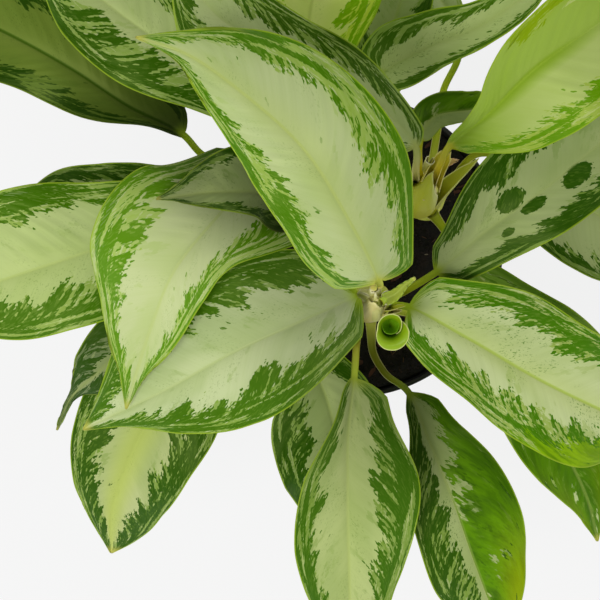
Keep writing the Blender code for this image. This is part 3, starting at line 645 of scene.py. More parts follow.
LEAVES = {
    "leaf_a1": leaf_row("a", (236, 78), [(8, -24, 300)],
        [(9, -21, 345), (-4, 4, 374), (-28, 41, 389.6), (-57, 68, 380), (-83, 87, 366), (-109, 97, 350)],
        (27, 30, 29, 18, 4), (23, 39, 40, 30, 9), roll=(8, 14), cup=(10, 10), curl=-30, lobe=13,
        wave=(2.5, 2.2, 1.0)),
    "leaf_a2": leaf_row("a", (214, 158), [(-3, -29, 282)],
        [(0, -28, 300), (-26, -40, 290), (-61, -56, 274), (-97, -76, 250), (-146, -100, 212)],
        (25, 37, 37, 22, 7), (34, 43, 43, 37, 15), wave=(2.5, 2.5, 2.0)),
    "leaf_a3": leaf_row("a", (200, 235), [(0, -54, 264)],
        [(-1, -71, 256), (-4, -100, 248), (-4, -130, 235), (-3, -170, 213), (0, -242, 165)],
        (23, 38, 34, 23, 12), (7, 23, 29, 22, 12), wave=(2.0, 2.0, 1.0)),
    "leaf_a4": leaf_row("a", (156, 205), [(-12, -42, 188)],
        [(-23, -55, 198), (-14, -86, 200), (-4, -129, 180), (0, -176, 150)], (18, 28, 30, 24, 9),
        (20, 34, 35, 29, 12)),
    "leaf_a5": leaf_row("a", (142, 275), [(11, -58, 166), (17, -70, 180)],
        [(30, -81, 203), (41, -108, 209), (53, -137, 203), (65, -170, 190), (87, -226, 156)],
        (16, 29, 33, 26, 12), (8, 22, 26, 25, 12), lobe=3, wave=(2.0, 3.0, 3.0)),
    "leaf_a6": leaf_row("a", (226, -8), [(18, -33, 285)],
        [(26, -34, 300), (56, -50, 302), (93, -71, 284), (124, -86, 267), (167, -104, 236)],
        (25, 36, 35, 31, 14), (22, 28, 33, 32, 14), wave=(3.0, 2.5, 4.0)),
    "leaf_a7": leaf_row("a", (205, 40), [(24, -26, 278)],
        [(40, -16, 292), (65, 5, 311), (90, 23, 319), (121, 48, 308), (162, 79, 285)], (15, 29, 33, 26, 10),
        (15, 21, 24, 23, 10), cup=(-6, 8), wave=(2.5, 2.0, 2.5)),
    "leaf_a8": leaf_row("a", (160, 340), [(42, -40, 178)],
        [(67, -49, 190), (90, -72, 202), (111, -106, 198), (129, -140, 180), (137, -165, 160)],
        (16, 22, 22, 15, 6), (16, 23, 23, 16, 6), wave=(2.0, 2.0, 1.5)),
    "young_leaf_a": leaf_row("a", (262, 30), [(12, -31, 300)],
        [(13, -30, 320), (18, -27, 335), (22, -23, 344), (26, -20, 350)], (3.2, 3.8, 3.4, 2.4, 1.2),
        (3.2, 3.8, 3.4, 2.4, 1.2), cup=(35, 35), curl=0, lobe=0, wave=(0, 0, 0)),
    "leaf_b1": leaf_row("b", (196, 45), [(41, 34, 268)],
        [(46, 47, 300), (62, 60, 332), (85, 82, 354), (112, 101, 357), (149, 128, 342)],
        (5, 11, 24, 29, 13), (12, 31, 37, 33, 13), cup=(45, 4), lobe=0, wave=(2.5, 2.0, 0.5)),
    "leaf_b2": leaf_row("b", (176, -10), [(52, 33, 222), (65, 47, 232)],
        [(77, 46, 238), (102, 30, 247), (134, 10, 247), (182, -15, 222)], (18, 25, 28, 22, 9),
        (22, 29, 31, 26, 10)),
    "leaf_b3": leaf_row("b", (205, 125), [(30, 36, 274)],
        [(29, 47, 298), (15, 62, 318), (-10, 78, 338), (-39, 91, 344), (-66, 106, 336), (-94, 145, 310)],
        (20, 32, 34, 26, 10), (10, 16, 20, 22, 10), wave=(3.0, 3.0, 1.0)),
    "leaf_b4": leaf_row("b", (186, 85), [(34, 42, 232)],
        [(34, 54, 242), (40, 65, 250), (60, 69, 254), (87, 73, 240)], (9, 11, 10, 8, 3), (6.5, 7, 6, 5, 2),
        lobe=3, wave=(1.0, 2.0, 1.0)),
    "leaf_b5": leaf_row("b", (156, 65), [(46, 64, 190), (48, 82, 203)],
        [(56, 104, 220), (50, 122, 228), (38, 140, 232), (22, 167, 222)], (6, 9, 10, 8, 3),
        (6, 9, 10, 8, 3), wave=(1.0, 2.0, 1.0)),
    "leaf_b6": leaf_row("b", (190, -50), [(48, 7, 222)],
        [(57, -9, 232), (79, -30, 238), (109, -52, 234), (137, -79, 215), (161, -101, 195)],
        (11, 15, 17, 15, 7), (14, 22, 24, 20, 8)),
    "leaf_c1": leaf_row("c", (212, 140), [(-42, 38, 270)],
        [(-49, 38, 290), (-70, 12, 310), (-90, -12, 304), (-106, -45, 274), (-121, -88, 238)],
        (43, 23, 20, 15, 4), (29, 48, 46, 29, 8), roll=(-6, -6), cup=(6, 6), curl=-20,
        wave=(3.5, 2.0, 3.0)),
    "leaf_c2": leaf_row("c", (222, 70), [(-29, 28, 290)],
        [(-29, 18, 308), (-49, 23, 321), (-70, 23, 326), (-101, 20, 313)], (16, 13, 10, 6.5, 2),
        (18, 24, 22, 14, 4)),
    "leaf_c3": leaf_row("c", (190, 185), [(-54, 20, 240)],
        [(-79, 15, 250), (-107, 6, 262), (-138, -5, 264), (-184, -20, 258), (-234, -36, 236)],
        (26, 36, 36, 32, 14), (22, 33, 43, 42, 17), cup=(1, 8), wave=(3.0, 2.5, 5.0)),
    "leaf_c4": leaf_row("c", (165, 158), [(-52, 30, 215)],
        [(-79, 25, 234), (-108, 25, 242), (-137, 22, 240), (-184, 11, 222)], (12, 17, 19, 17, 8),
        (12, 17, 19, 20, 12), wave=(2.0, 2.0, 2.0)),
    "leaf_c5": leaf_row("c", (150, 225), [(-66, -6, 164)],
        [(-90, -38, 176), (-106, -82, 184), (-124, -119, 172), (-135, -150, 150), (-137, -175, 126)],
        (24, 37, 35, 30, 20), (26, 38, 37, 26, 9), cup=(8, 2), wave=(2.0, 2.5, 4.0)),
    "leaf_c6": leaf_row("c", (160, 255), [(-66, -6, 192)],
        [(-99, -30, 208), (-118, -49, 214), (-137, -68, 205), (-154, -83, 185), (-165, -103, 160)],
        (18, 22, 14, 3, 1.5), (16, 19, 15, 3, 1.5), wave=(1.5, 2.0, 1.0)),
    "leaf_d1": leaf_row("d", (180, 150), [(-56, 40, 206), (-81, 47, 224)],
        [(-91, 57, 240), (-119, 71, 256), (-145, 88, 262), (-185, 110, 260), (-240, 132, 232)],
        (5, 19, 23, 27, 12), (16, 26, 30, 26, 10), wave=(3.0, 3.0, 0.7)),
    "leaf_d2": leaf_row("d", (200, 115), [(-34, 58, 252)],
        [(-52, 67, 268), (-80, 89, 284), (-107, 105, 293), (-130, 122, 292), (-168, 152, 272)],
        (16, 25, 29, 25, 12), (18, 28, 28, 24, 10), wave=(3.0, 2.5, 2.0)),
    "leaf_d3": leaf_row("d", (205, 75), [(-24, 60, 250)],
        [(-33, 68, 268), (-27, 97, 288), (-23, 121, 298), (-16, 160, 292), (-6, 198, 272)],
        (14, 26, 30, 24, 9), (14, 27, 35, 28, 10)),
    "leaf_d4": leaf_row("d", (170, 70), [(0, 66, 220)],
        [(9, 78, 238), (15, 100, 252), (23, 125, 260), (36, 169, 248)], (14, 20, 22, 17, 6),
        (14, 17, 17, 14, 6)),
    "leaf_d5": leaf_row("d", (188, 40), [(0, 68, 246)],
        [(12, 86, 266), (37, 99, 282), (62, 109, 290), (85, 124, 290), (107, 146, 278)], (20, 18, 13, 9, 4),
        (14, 12.5, 11, 9, 4), cup=(20, 14), lobe=11),
}


def smooth_path(points, steps=CURVE_STEPS):
    """Points along one smooth curve that passes through the given points."""
    pts = [np.array(p, dtype=float) for p in points]
    spans = [np.linalg.norm(b - a) for a, b in zip(pts, pts[1:])]
    slopes = [(pts[1] - pts[0]) / spans[0]]
    for k in range(1, len(pts) - 1):
        before = (pts[k] - pts[k - 1]) / spans[k - 1]
        after = (pts[k + 1] - pts[k]) / spans[k]
        slopes.append((before * spans[k] + after * spans[k - 1]) / (spans[k - 1] + spans[k]))
    slopes.append((pts[-1] - pts[-2]) / spans[-1])
    curve = []
    for k, span in enumerate(spans):
        for step in range(steps):
            u = step / steps
            curve.append(pts[k] * (2 * u**3 - 3 * u**2 + 1) + pts[k + 1] * (3 * u**2 - 2 * u**3)
                         + slopes[k] * span * (u**3 - 2 * u**2 + u) + slopes[k + 1] * span * (u**3 - u**2))
    return np.array(curve + [pts[-1]])


def unit(vectors):
    """Vectors of length one."""
    return vectors / np.maximum(np.linalg.norm(vectors, axis=-1, keepdims=True), 1e-9)


def soft_step(values, low, high):
    """Soft step from 0 to 1."""
    share = np.clip((values - low) / (high - low), 0.0, 1.0)
    return share * share * (3 - 2 * share)


class Path:
    """Smooth curve that can be read at any distance from its start."""

    def __init__(self, points):
        self.curve = smooth_path(points)
        self.along = np.concatenate([[0.0], np.cumsum(np.linalg.norm(np.diff(self.curve, axis=0), axis=1))])

    def read(self, distance):
        """Points of the curve at distances."""
        return np.stack([np.interp(distance, self.along, self.curve[:, k]) for k in range(3)], axis=-1)

    def heading(self, distance, reach=1.5):
        """Directions of the curve at distances, each taken over a short reach."""
        ahead = self.read(np.minimum(distance + reach, self.along[-1]))
        return unit(ahead - self.read(np.maximum(distance - reach, 0.0)))


def half_width(widths, length, share):
    """Half width of a blade at shares of its length, from its five half widths."""
    stops = [(0.0, PETIOLE_RADIUS), (0.035 * length, 0.62 * widths[0])]
    stops += [(station * length, width) for station, width in zip(STATIONS, widths)]
    curve = smooth_path(stops + [(length, TIP_HALF_WIDTH)], 16)
    return np.interp(share * length, curve[:, 0], curve[:, 1])


def level_side(heading):
    """Level direction to the right of a path, seen from above."""
    return unit(np.cross(heading, (0.0, 0.0, 1.0)))


def cane_centre(cane, height):
    """Centre of a cane at a height."""
    foot, top = CANES[cane]
    share = (height - SOIL_LEVEL) / (top[2] - SOIL_LEVEL)
    return np.stack([foot[0] + (top[0] - foot[0]) * share, foot[1] + (top[1] - foot[1]) * share,
                     height + 0 * share], axis=-1)


def compass_direction(compass):
    """Level direction at a compass angle."""
    return np.array([math.cos(math.radians(compass)), math.sin(math.radians(compass)), 0.0])


def vein_sweep(reach):
    """Share of the blade's length by which a lateral vein has moved tipwards at a share of half width."""
    return 0.18 * reach + 0.17 * reach**6


def column_place(column, width, share):
    """Distance of a column from the midrib: close by the rib and by the margin, even between."""
    rib_band = np.minimum(RIB_BAND - RIB_BAND_LOSS * share, 0.25 * width)
    rim_band = np.minimum(RIM_BAND, 0.15 * width)
    between = SIDE_COLUMNS - RIB_COLUMNS - RIM_COLUMNS
    if column <= RIB_COLUMNS:
        return rib_band * column / RIB_COLUMNS
    if column <= RIB_COLUMNS + between:
        return rib_band + (width - rim_band - rib_band) * (column - RIB_COLUMNS) / between
    return width - rim_band * (1 - (column - RIB_COLUMNS - between) / RIM_COLUMNS) ** 1.5


def petiole_sections(leaf, path, distances, blade_start):
    """Inner and outer faces of the sheath and petiole, row by row."""
    height, compass = leaf["start"]
    out = compass_direction(compass)
    w = np.linspace(-1.0, 1.0, 2 * SIDE_COLUMNS + 1)[None, :, None]
    d = distances[:, None, None]
    centre = path.read(distances)[:, None, :]
    heading = path.heading(distances)
    base_side = level_side(path.heading(np.array(blade_start)))
    turn = soft_step(distances / blade_start, 0.15, 0.9)[:, None]
    side = level_side(out)[None, :] * (1 - turn) + base_side[None, :] * turn
    side = unit(side - heading * np.sum(side * heading, axis=-1, keepdims=True))
    up = np.cross(side, heading)[:, None, :]
    side = side[:, None, :]
    radius = PETIOLE_RADIUS * (0.5 + 0.5 * np.minimum(1.0, d / SHEATH_HEIGHT))
    radius = radius * (1 - 0.25 * soft_step(d, 1.2 * SHEATH_HEIGHT, 2.2 * SHEATH_HEIGHT))
    lean = w * math.radians(95)
    wing = WING_HEIGHT * (1 - soft_step(d / blade_start, 0.45, 0.85)) + WING_EDGE
    spread = soft_step(np.abs(w), 0.72, 1.0)
    flare = up * wing * spread + side * np.sign(w) * wing * 0.2 * spread
    outer = centre + side * radius * np.sin(lean) - up * radius * np.cos(lean) + flare
    crest = np.cos(w * math.pi / 2)
    hollow = 0.09 * radius + 0.3 - 0.5 * radius * crest
    inner = centre + side * 0.95 * radius * np.sin(w * math.pi / 2) + up * hollow + flare
    share = np.minimum(d / SHEATH_HEIGHT, 1.4)
    round_cane = w * np.radians(SHEATH_WRAP - SHEATH_OPENING * np.minimum(share, 1.2))
    direction = out * np.cos(round_cane) + level_side(out) * np.sin(round_cane)
    stem = cane_centre(leaf["cane"], height + distances)[:, None, :]
    inside = CANE_RADIUS + SCAR_HEIGHT + 0.1 + SHEATH_FLARE * share
    outside = inside + SHEATH_RIM + SHEATH_BODY * (1 + share) * crest**1.5
    clasp = 1 - soft_step(d, CLASP_LOW, CLASP_HIGH)
    return (inner * (1 - clasp) + (stem + direction * inside) * clasp,
            outer * (1 - clasp) + (stem + direction * outside) * clasp)


def blade_sections(leaf, path, shares, blade_start, length):
    """Upper and lower faces of the blade on rows that follow its veins, with the masks of both."""
    half = np.arange(SIDE_COLUMNS + 1) / SIDE_COLUMNS
    hold = (np.minimum(1.0, shares / 0.3) * np.minimum(1.0, (1 - shares) / 0.5))[:, None]
    sides = []
    for name, turn in (("left", -1), ("right", 1)):
        share = shares[:, None] + vein_sweep(half)[None, :] * hold
        width = half_width(leaf[name], length, share)
        for _ in range(3):
            x = np.stack([column_place(k, width[:, k], share[:, k]) for k in range(len(half))], 1)
            reach = x / np.maximum(width, 1e-6)
            share = shares[:, None] + vein_sweep(np.minimum(reach, 1.0)) * hold
            width = half_width(leaf[name], length, share)
        sides.append((share, turn * x, reach, width))
    share, x, reach, width = [np.concatenate([a[:, :0:-1], b], axis=1) for a, b in zip(*sides)]
    turn = np.sign(x)
    distance = blade_start + length * share
    centre = path.read(distance)
    heading = path.heading(distance)
    flat_side = level_side(heading)
    flat_up = np.cross(flat_side, heading)
    roll = np.radians(leaf["roll"][0] + (leaf["roll"][1] - leaf["roll"][0]) * share)[..., None]
    side = flat_side * np.cos(roll) + flat_up * np.sin(roll)
    up = flat_up * np.cos(roll) - flat_side * np.sin(roll)
    high, waves, phase = leaf["wave"]
    slope = np.radians(np.where(turn < 0, *leaf["cup"]) + leaf["curl"] * reach * 0.5)
    shift = np.where(turn < 0, LEFT_WAVE_SHIFT, 0.0)
    swell = np.sqrt(np.maximum(0.0, np.sin(math.pi * np.minimum(share, 1.0))))
    lift = high * np.sin(2 * math.pi * waves * share + phase + shift) * reach**2 * swell
    ripple = np.sin(2 * math.pi * RIPPLES * share + phase * 3.0 + shift)
    lift = lift + RIPPLE_HEIGHT * ripple * reach**5 * swell
    dent = (1 - 0.8 * share) * np.exp(-(x / (2.2 - 1.2 * share)) ** 2)
    rise = (np.abs(x) * np.sin(slope) + lift - dent)[..., None]
    swept = leaf["lobe"] * np.maximum(0.0, 1.0 - share / LOBE_SHARE) ** 2 * reach**2
    upper = centre + side * (x * np.cos(slope))[..., None] + up * rise - heading * swept[..., None]
    normal = unit(np.cross(np.gradient(upper, axis=1), np.gradient(upper, axis=0)))
    normal = normal * np.sign(np.sum(normal * up, axis=-1, keepdims=True) + 1e-9)
    ridge = (RIDGE_DEPTH - RIDGE_LOSS * share) * np.exp(-(x / (2.0 - 1.1 * share)) ** 2)
    thick = MARGIN_THICKNESS + BODY_THICKNESS * (1 - reach**3) + ridge
    rim_band = np.minimum(RIM_BAND, 0.15 * width)
    masks = dict(across=np.clip(x / np.maximum(width, 1e-6), -1, 1), along=share,
                 edge=np.clip(1 - (width - np.abs(x)) / np.maximum(rim_band, 1e-6), 0, 1),
                 rib=np.clip(1 - np.abs(x) / 2.0, 0, 1))
    return upper, upper - normal * thick[..., None], normal, masks


def closed_skin(name, upper, lower, masks, material=None):
    """Closed mesh between two grids of points, with masks on its points and one for its lower side."""
    rows, columns = upper.shape[:2]
    ring = 2 * columns
    points = np.concatenate([upper, lower[:, ::-1]], axis=1).reshape(-1, 3) * MM
    row = np.arange(rows - 1)[:, None] * ring
    k = np.arange(ring)[None, :]
    after = (k + 1) % ring
    sides = np.stack([row + k, row + after, row + ring + after, row + ring + k], axis=-1).reshape(-1, 4)
    j = np.arange(columns - 1)
    cap = np.stack([j, ring - 1 - j, ring - 2 - j, j + 1], axis=-1)
    faces = np.concatenate([sides, cap, (cap + (rows - 1) * ring)[:, ::-1]])
    mesh = bpy.data.meshes.new(name)
    mesh.from_pydata(points.tolist(), [], faces.tolist())
    flat = np.zeros((rows, columns))
    pairs = {label: (values, values) for label, values in masks.items()}
    pairs["under"] = (flat, flat + 1)
    for label, (above, below) in pairs.items():
        both = np.concatenate([above, below[:, ::-1]], axis=1)
        kind, key = ("FLOAT_VECTOR", "vector") if both.ndim == 3 else ("FLOAT", "value")
        mask = mesh.attributes.new(label, kind, "POINT")
        mask.data.foreach_set(key, both.ravel().astype(np.float32))
    bm = bmesh.new()
    bm.from_mesh(mesh)
    bmesh.ops.recalc_face_normals(bm, faces=bm.faces)
    bm.to_mesh(mesh)
    bm.free()
    mesh.materials.append(material)
    mesh.shade_smooth()
    return new_object(name, mesh)


def leaf_skin(name, leaf):
    """Skin of one leaf from its foot on the cane to the tip of its blade, and the blade's length."""
    height, compass = leaf["start"]
    clear = CANE_RADIUS + SCAR_HEIGHT + GAP + PETIOLE_RADIUS

    def beside_cane(rise, outwards=clear):
        """Point beside the cane, above the petiole's foot."""
        return cane_centre(leaf["cane"], height + rise) + compass_direction(compass) * outwards

    stalk_points = [beside_cane(0.0, clear - PETIOLE_RADIUS * 0.5), beside_cane(SHEATH_HEIGHT),
                    beside_cane(SHEATH_HEIGHT + 4.0), *leaf["via"]]
    path = Path(stalk_points + leaf["rib"])
    blade_start = path.along[CURVE_STEPS * len(stalk_points)]
    length = path.along[-1] - blade_start
    u = np.linspace(0.0, 1.0, BLADE_ROWS)
    shares = 0.6 * u + 0.4 * (0.5 - 0.5 * np.cos(math.pi * u))
    stalk = np.linspace(0.0, blade_start, int(blade_start / STALK_STEP), endpoint=False)
    inner, outer = petiole_sections(leaf, path, stalk, blade_start)
    joined_inner, joined_outer = petiole_sections(
        leaf, path, np.minimum(blade_start + length * shares, path.along[-1]), blade_start)
    upper, lower, normal, masks = blade_sections(leaf, path, shares, blade_start, length)
    mix = np.clip(masks["along"] / BLADE_BLEND, 0.0, 1.0)[..., None]
    upper = joined_inner * (1 - mix) + upper * mix
    lower = joined_outer * (1 - mix) + lower * mix
    w = np.linspace(-1.0, 1.0, 2 * SIDE_COLUMNS + 1)[None, :] + np.zeros((len(stalk), 1))
    stalk_masks = dict(across=w, along=(stalk / blade_start - 1.0)[:, None] + 0 * w,
                       edge=np.clip((np.abs(w) - 0.8) / 0.2, 0, 1), rib=0 * w)
    whole = {label: np.concatenate([stalk_masks[label], masks[label]]) for label in masks}
    whole["lift"] = np.concatenate([np.zeros(inner.shape), normal * mix])
    return closed_skin(name + "_skin", np.concatenate([inner, upper]), np.concatenate([outer, lower]),
                       whole), length


def vein_tree():
    """Geometry Nodes tree that presses the lateral veins into a blade and puckers it between them."""
    tree, given, out = new_group("lateral_veins", "GeometryNodeTree", {
        "Geometry": "Geometry", "Blade Length": 180.0, "Vein Spacing": 8.0, "Vein Height": 0.0003,
        "Pucker Height": 0.0006, "Seed": 0.0, "Material": "Material"}, {"Geometry": "Geometry"})

    def read(label, kind="FLOAT"):
        """Mask that the mesh holds."""
        return put("GeometryNodeInputNamedAttribute", {"Name": label}, 0, tree, data_type=kind)

    across = read("across")
    reach = abs(across)
    q = (read("along") - vein_sweep(reach)) * given["Blade Length"]
    drift = noise(vector(q * 0.06, reach, calc("SIGN", across) * 3.0 + given["Seed"]), detail=1.0)
    from_vein = abs(calc("FRACT", q / given["Vein Spacing"] + drift * 2.5) - 0.5)
    body = fade(reach, 0.03, 0.16) * fade(reach, 0.97, 0.7)
    quilt = (fade(from_vein, 0.0, 0.4) - 0.5) * body * given["Vein Height"]
    cloud = noise(vector(q * 0.035, across * 1.6, given["Seed"]))
    pucker = (cloud - 0.5) * given["Pucker Height"] * fade(reach, 0.05, 0.4)
    offset = put("ShaderNodeVectorMath", {0: read("lift", "FLOAT_VECTOR"), "Scale": quilt + pucker},
                 operation="SCALE")
    end_tree(put("GeometryNodeSetPosition", {"Geometry": given["Geometry"], "Offset": offset}), given, out)
    return tree


# Colours of a usual leaf, of the kinds of leaf that differ from it, and of marks that all leaves share.
RIB_GREEN = (180, 194, 100)
USUAL = dict(pale=(185, 200, 138), stripe=(136, 164, 68), dark=(62, 108, 0), solid=(84, 130, 2),
             rib_tone=RIB_GREEN, stalk=(178, 196, 40))
YOUNG = dict(pale=(156, 170, 62), stripe=(140, 160, 44), dark=(132, 156, 34))
LIME = dict(pale=(186, 200, 124), stripe=(150, 176, 60), dark=(94, 144, 0))
# Older, lower leaves: their own duller colours, made darker and greyer still as painted shade from the leaves
# above them.
OLD_AND_SHADED = dict(pale=(170, 184, 122), stripe=(114, 146, 50), dark=(42, 84, 0))
RIPE_GREEN = (152, 172, 0)
FRESH_GREEN = (130, 166, 0)
FRESH_OLIVE = (150, 170, 10)
RIM_GREEN = (150, 178, 40)
TIP_YELLOW = (196, 196, 90)
STALK_FOOT = (208, 210, 100)
STALK_TOP = (126, 160, 40)
STALK_WING = (224, 216, 150)
UNDERSIDE = (140, 162, 100)
# Near-black green that painted shade mixes into a leaf.
PAINTED_SHADE_TONE = (0, 12, 0)


def variegation_group():
    """Leaf pattern and painted shade on the blade's own coordinates.

    A pale middle, a ragged green margin whose teeth and streaks run along the lateral veins, flecks,
    a thin bright rim, a yellower midrib, and the colours of petiole and underside. Painted shade lies
    over them: the Shade, Base Shade and Right Shade inputs darken a leaf that others shade, its base
    where leaves above cast shadow, and the half that faces away from the light.
    """
    tree, given, out = new_group("leaf_variegation_and_shade", "ShaderNodeTree", {
        "Seed": 0.0, "Length": 180.0, "Half Width": 35.0, "Left Reach": 0.6, "Right Reach": 0.6,
        "Teeth": 3.6, "Streaks": 0.53, "Flecks": 0.012, "Solid From": 2.0, "Solid Side": 0.0,
        "Blotch": 0.0, "Glow": 0.1, "Ripe": 0.3, "Shade": 0.0, "Base Shade": 0.08, "Fresh": 0.0,
        "Left Start": -1.0, "Speckle": 0.3, "Right Shade": 0.0, "Rib": 0.25, "Rib Tone": "Color",
        "Stalk": "Color", "Pale": "Color", "Stripe": "Color", "Dark": "Color", "Solid": "Color"},
        {"Color": "Color", "Roughness": "Float", "Height": "Float"})
    across, along, edge, rib, under = masks_of(tree, "across", "along", "edge", "rib", "under")
    pale, stripe, dark = given["Pale"], given["Stripe"], given["Dark"]
    reach = abs(across)
    right = fade(across, -0.02, 0.02)
    sweep = vein_sweep(reach)
    seed = right * 23.7 + given["Seed"] * 7.31
    from_rib = reach * given["Half Width"]
    q = (along - sweep) * given["Length"]
    p = sweep * given["Length"] * 0.8 + from_rib
    cells = put("ShaderNodeTexVoronoi", {
        "Vector": vector(q / CELL_WIDTH + seed * 13.0, p / CELL_LENGTH, 0.0), "Scale": 1.0}, "Position",
        voronoi_dimensions="2D")
    spot = put("ShaderNodeSeparateXYZ", {0: cells})
    step_q, step_p = spot * CELL_WIDTH, spot.beside(1) * CELL_LENGTH
    chance = put("ShaderNodeSeparateColor", {0: cells.beside("Color")})
    jitter = chance - 0.5

    def mottle(width, long, shift, detail, roughness=0.55):
        """Clouds drawn out along the veins, in steps of whole cells."""
        return noise(vector(step_q / width, step_p / long, seed + shift), 1.0, detail, roughness)

    def cloudy(width, long, detail=2.0, roughness=0.5):
        """Clouds drawn out along the veins, without steps."""
        return noise(vector(q / width, p / long, seed), 1.0, detail, roughness)

    own_reach = given["Left Reach"] + right * (given["Right Reach"] - given["Left Reach"])
    before = fade(along - given["Left Start"], 0.1, -0.02) * (1.0 - right)
    pull = fade(along, 0.2, 0.0) * 0.03 - fade(along, 0.7, 1.0) * 0.3 + before
    finger = mottle(12.0, 48.0, 0.0, 4.0, 0.6) - 0.5
    depth = (reach - (own_reach + pull)) / 0.3 + (jitter * 0.32 + finger * given["Teeth"])
    zone = fade(depth, -0.03, 0.03)
    near = fade(depth, -2.0, -0.3)

    along_rim = noise(vector(from_rib / 2.1, along * 5.0, seed))
    along_vein = mottle(3.7, 50.0, 5.0, 2.0)
    streak = along_vein + (along_rim - along_vein) * fade(reach, 0.55, 0.85) + jitter * 0.1
    streaks = zone * fade(streak, 0.99 - given["Streaks"], 1.01 - given["Streaks"])
    pale_line = noise(vector(from_rib / 1.1, along * 8.0, seed + 3.0)) + jitter * 0.12
    pale_line = fade(pale_line, 0.6, 0.64) * zone
    light_fleck = zone * (chance.beside(2) > 0.95)
    fleck = near * (mottle(7.0, 14.0, 9.0, 2.0) + jitter * 0.2 > 0.79 - given["Flecks"])
    ghost = fade(mottle(16.0, 30.0, 13.0, 3.0, 0.7), 0.59, 0.63) * near
    blotch = fade(given["Blotch"] + jitter * 0.25, 0.48, 0.52)
    dots = fade(cloudy(0.9, 1.6, 1.0), 0.6, 0.68) * fade(mottle(22.0, 30.0, 17.0, 1.0), 0.5, 0.65)
    fine = cloudy(1.5, 80.0)
    cloud = cloudy(40.0, 50.0)

    fresh = most(fade(along, 0.5, 0.05), 0.76 - right * 0.5, fade(reach, 0.3, 0.0) * fade(along, 1.0, 0.5))
    deep = layered(dark, (fade(chance.beside(1), 0.6, 1.0) * 0.25, stripe),
                   ((0.6 - right * 0.6) * given["Fresh"], FRESH_OLIVE))
    mixed = layered(pale, (fade(cloud, 0.35, 0.65) * 0.3, stripe), (fade(fine, 0.4, 0.7) * 0.07, stripe),
                    (fresh * given["Fresh"], FRESH_GREEN), (fade(reach, 0.4, 0.0) * given["Glow"], RIB_GREEN),
                    (ghost * 0.4, stripe), (zone * remap(jitter, -0.5, 0.5, 0.75, 1.0), stripe),
                    (most(light_fleck, pale_line) * 0.65, pale), (dots * given["Speckle"], dark),
                    (most(streaks, fleck, blotch), deep))

    tip_line = along + finger * 0.5 + (reach - 0.5) * 0.5 + jitter * 0.1
    solid = (across * given["Solid Side"] > -0.01) * fade(tip_line - given["Solid From"], 0.0, 0.02)
    solid = solid * fade(mottle(11.0, 22.0, 31.0, 3.0), 0.65, 0.62)
    patches = most(fade(cloudy(16.0, 34.0, 3.0, 0.6), 0.4, 0.62),
                   fade(reach, 0.55, 0.9) * fade(along, 0.65, 0.35))
    full = layered(given["Solid"], (patches * 0.65, dark),
                   (fade(mottle(8.0, 12.0, 41.0, 4.0, 0.75), 0.5, 0.66) * 0.7, dark),
                   (fade(mottle(9.0, 16.0, 47.0, 4.0, 0.75), 0.57, 0.64) * 0.3, stripe),
                   (fade(along, 0.4, 0.9) * fade(reach, 0.15, 0.85) * given["Ripe"], RIPE_GREEN))
    stalk = layered(STALK_FOOT, (fade(along, -0.75, -0.35), given["Stalk"]),
                    (fade(along, -0.3, 0.0) * 0.5, STALK_TOP),
                    (fade(edge, 0.1, 0.7) * fade(along, -0.15, -0.35), STALK_WING))
    # Painted shade: darker all over a leaf that others shade, towards the base where leaves above cast
    # shadow, and on the half that faces away from the light. It stops at the petiole.
    shade = given["Shade"] + given["Base Shade"] * fade(along, 0.55, 0.0) + given["Right Shade"] * right
    mixed = layered(mixed, (solid, full), (fade(edge, 0.25, 0.75) * 0.85, RIM_GREEN),
                    (fade(rib, 0.35, 0.85) * given["Rib"], given["Rib Tone"]),
                    (fade(along, 0.95, 1.0), TIP_YELLOW), (fade(along, 0.05, 0.0), stalk),
                    (under * fade(along, 0.0, 0.05) * 0.5, UNDERSIDE),
                    (shade * fade(along, -0.04, 0.05), PAINTED_SHADE_TONE))
    feed(out["Color"], mixed)
    feed(out["Roughness"], 0.36 + cloud * 0.1 + under * 0.2)
    feed(out["Height"], fine * 0.5 + zone * 0.2)
    return tree


VARIEGATION_AND_SHADE = variegation_group()

# Blotches of two leaves, each by its place along and across the blade and its half sizes.
BLOTCHES = {
    "leaf_a7": ((0.33, -0.18, 0.05, 0.17), (0.38, 0.14, 0.045, 0.13), (0.54, 0.2, 0.06, 0.2),
                (0.27, 0.34, 0.022, 0.1)),
    "leaf_a5": ((0.295, 0.24, 0.025, 0.09), (0.24, 0.4, 0.012, 0.05)),
}


def blotch_cloud(tree, spots):
    """Value that peaks on each blotch."""
    along, across = masks_of(tree, "along", "across")
    total = 0.0
    for spot_along, spot_across, half_length, half_breadth in spots:
        a = (along - spot_along) / half_length
        b = (across - spot_across) / half_breadth
        total = most(total, 1.0 - (a * a + b * b) * 0.5)
    return total


def leaf_finish(name, looks):
    """Waxy leaf surface with the variegation and painted shade of one leaf."""
    material, place = new_material(name + "_finish")
    values = {label.replace("_", " ").title(): colour(*value) if isinstance(value, tuple) else value
              for label, value in {**USUAL, **looks}.items()}
    if name in BLOTCHES:
        values["Blotch"] = blotch_cloud(place.tree, BLOTCHES[name])
    tone = put("ShaderNodeGroup", values, "Color", place.tree, node_tree=VARIEGATION_AND_SHADE)
    height = tone.beside("Height") + noise(place, 2500.0) * 0.35
    return coat(material, tone, tone.beside("Roughness"), {
        "Specular IOR Level": 0.2, "Specular Tint": (0.86, 1.0, 0.3, 1.0), "Normal": bump(height, 0.18, 0.3)})


def look(left=0.58, right=0.58, base=None, **others):
    """Looks of one leaf: reach of its pale middle to left and right, its kind, and what is its own."""
    return {**(base or {}), "left_reach": left, "right_reach": right, **others}
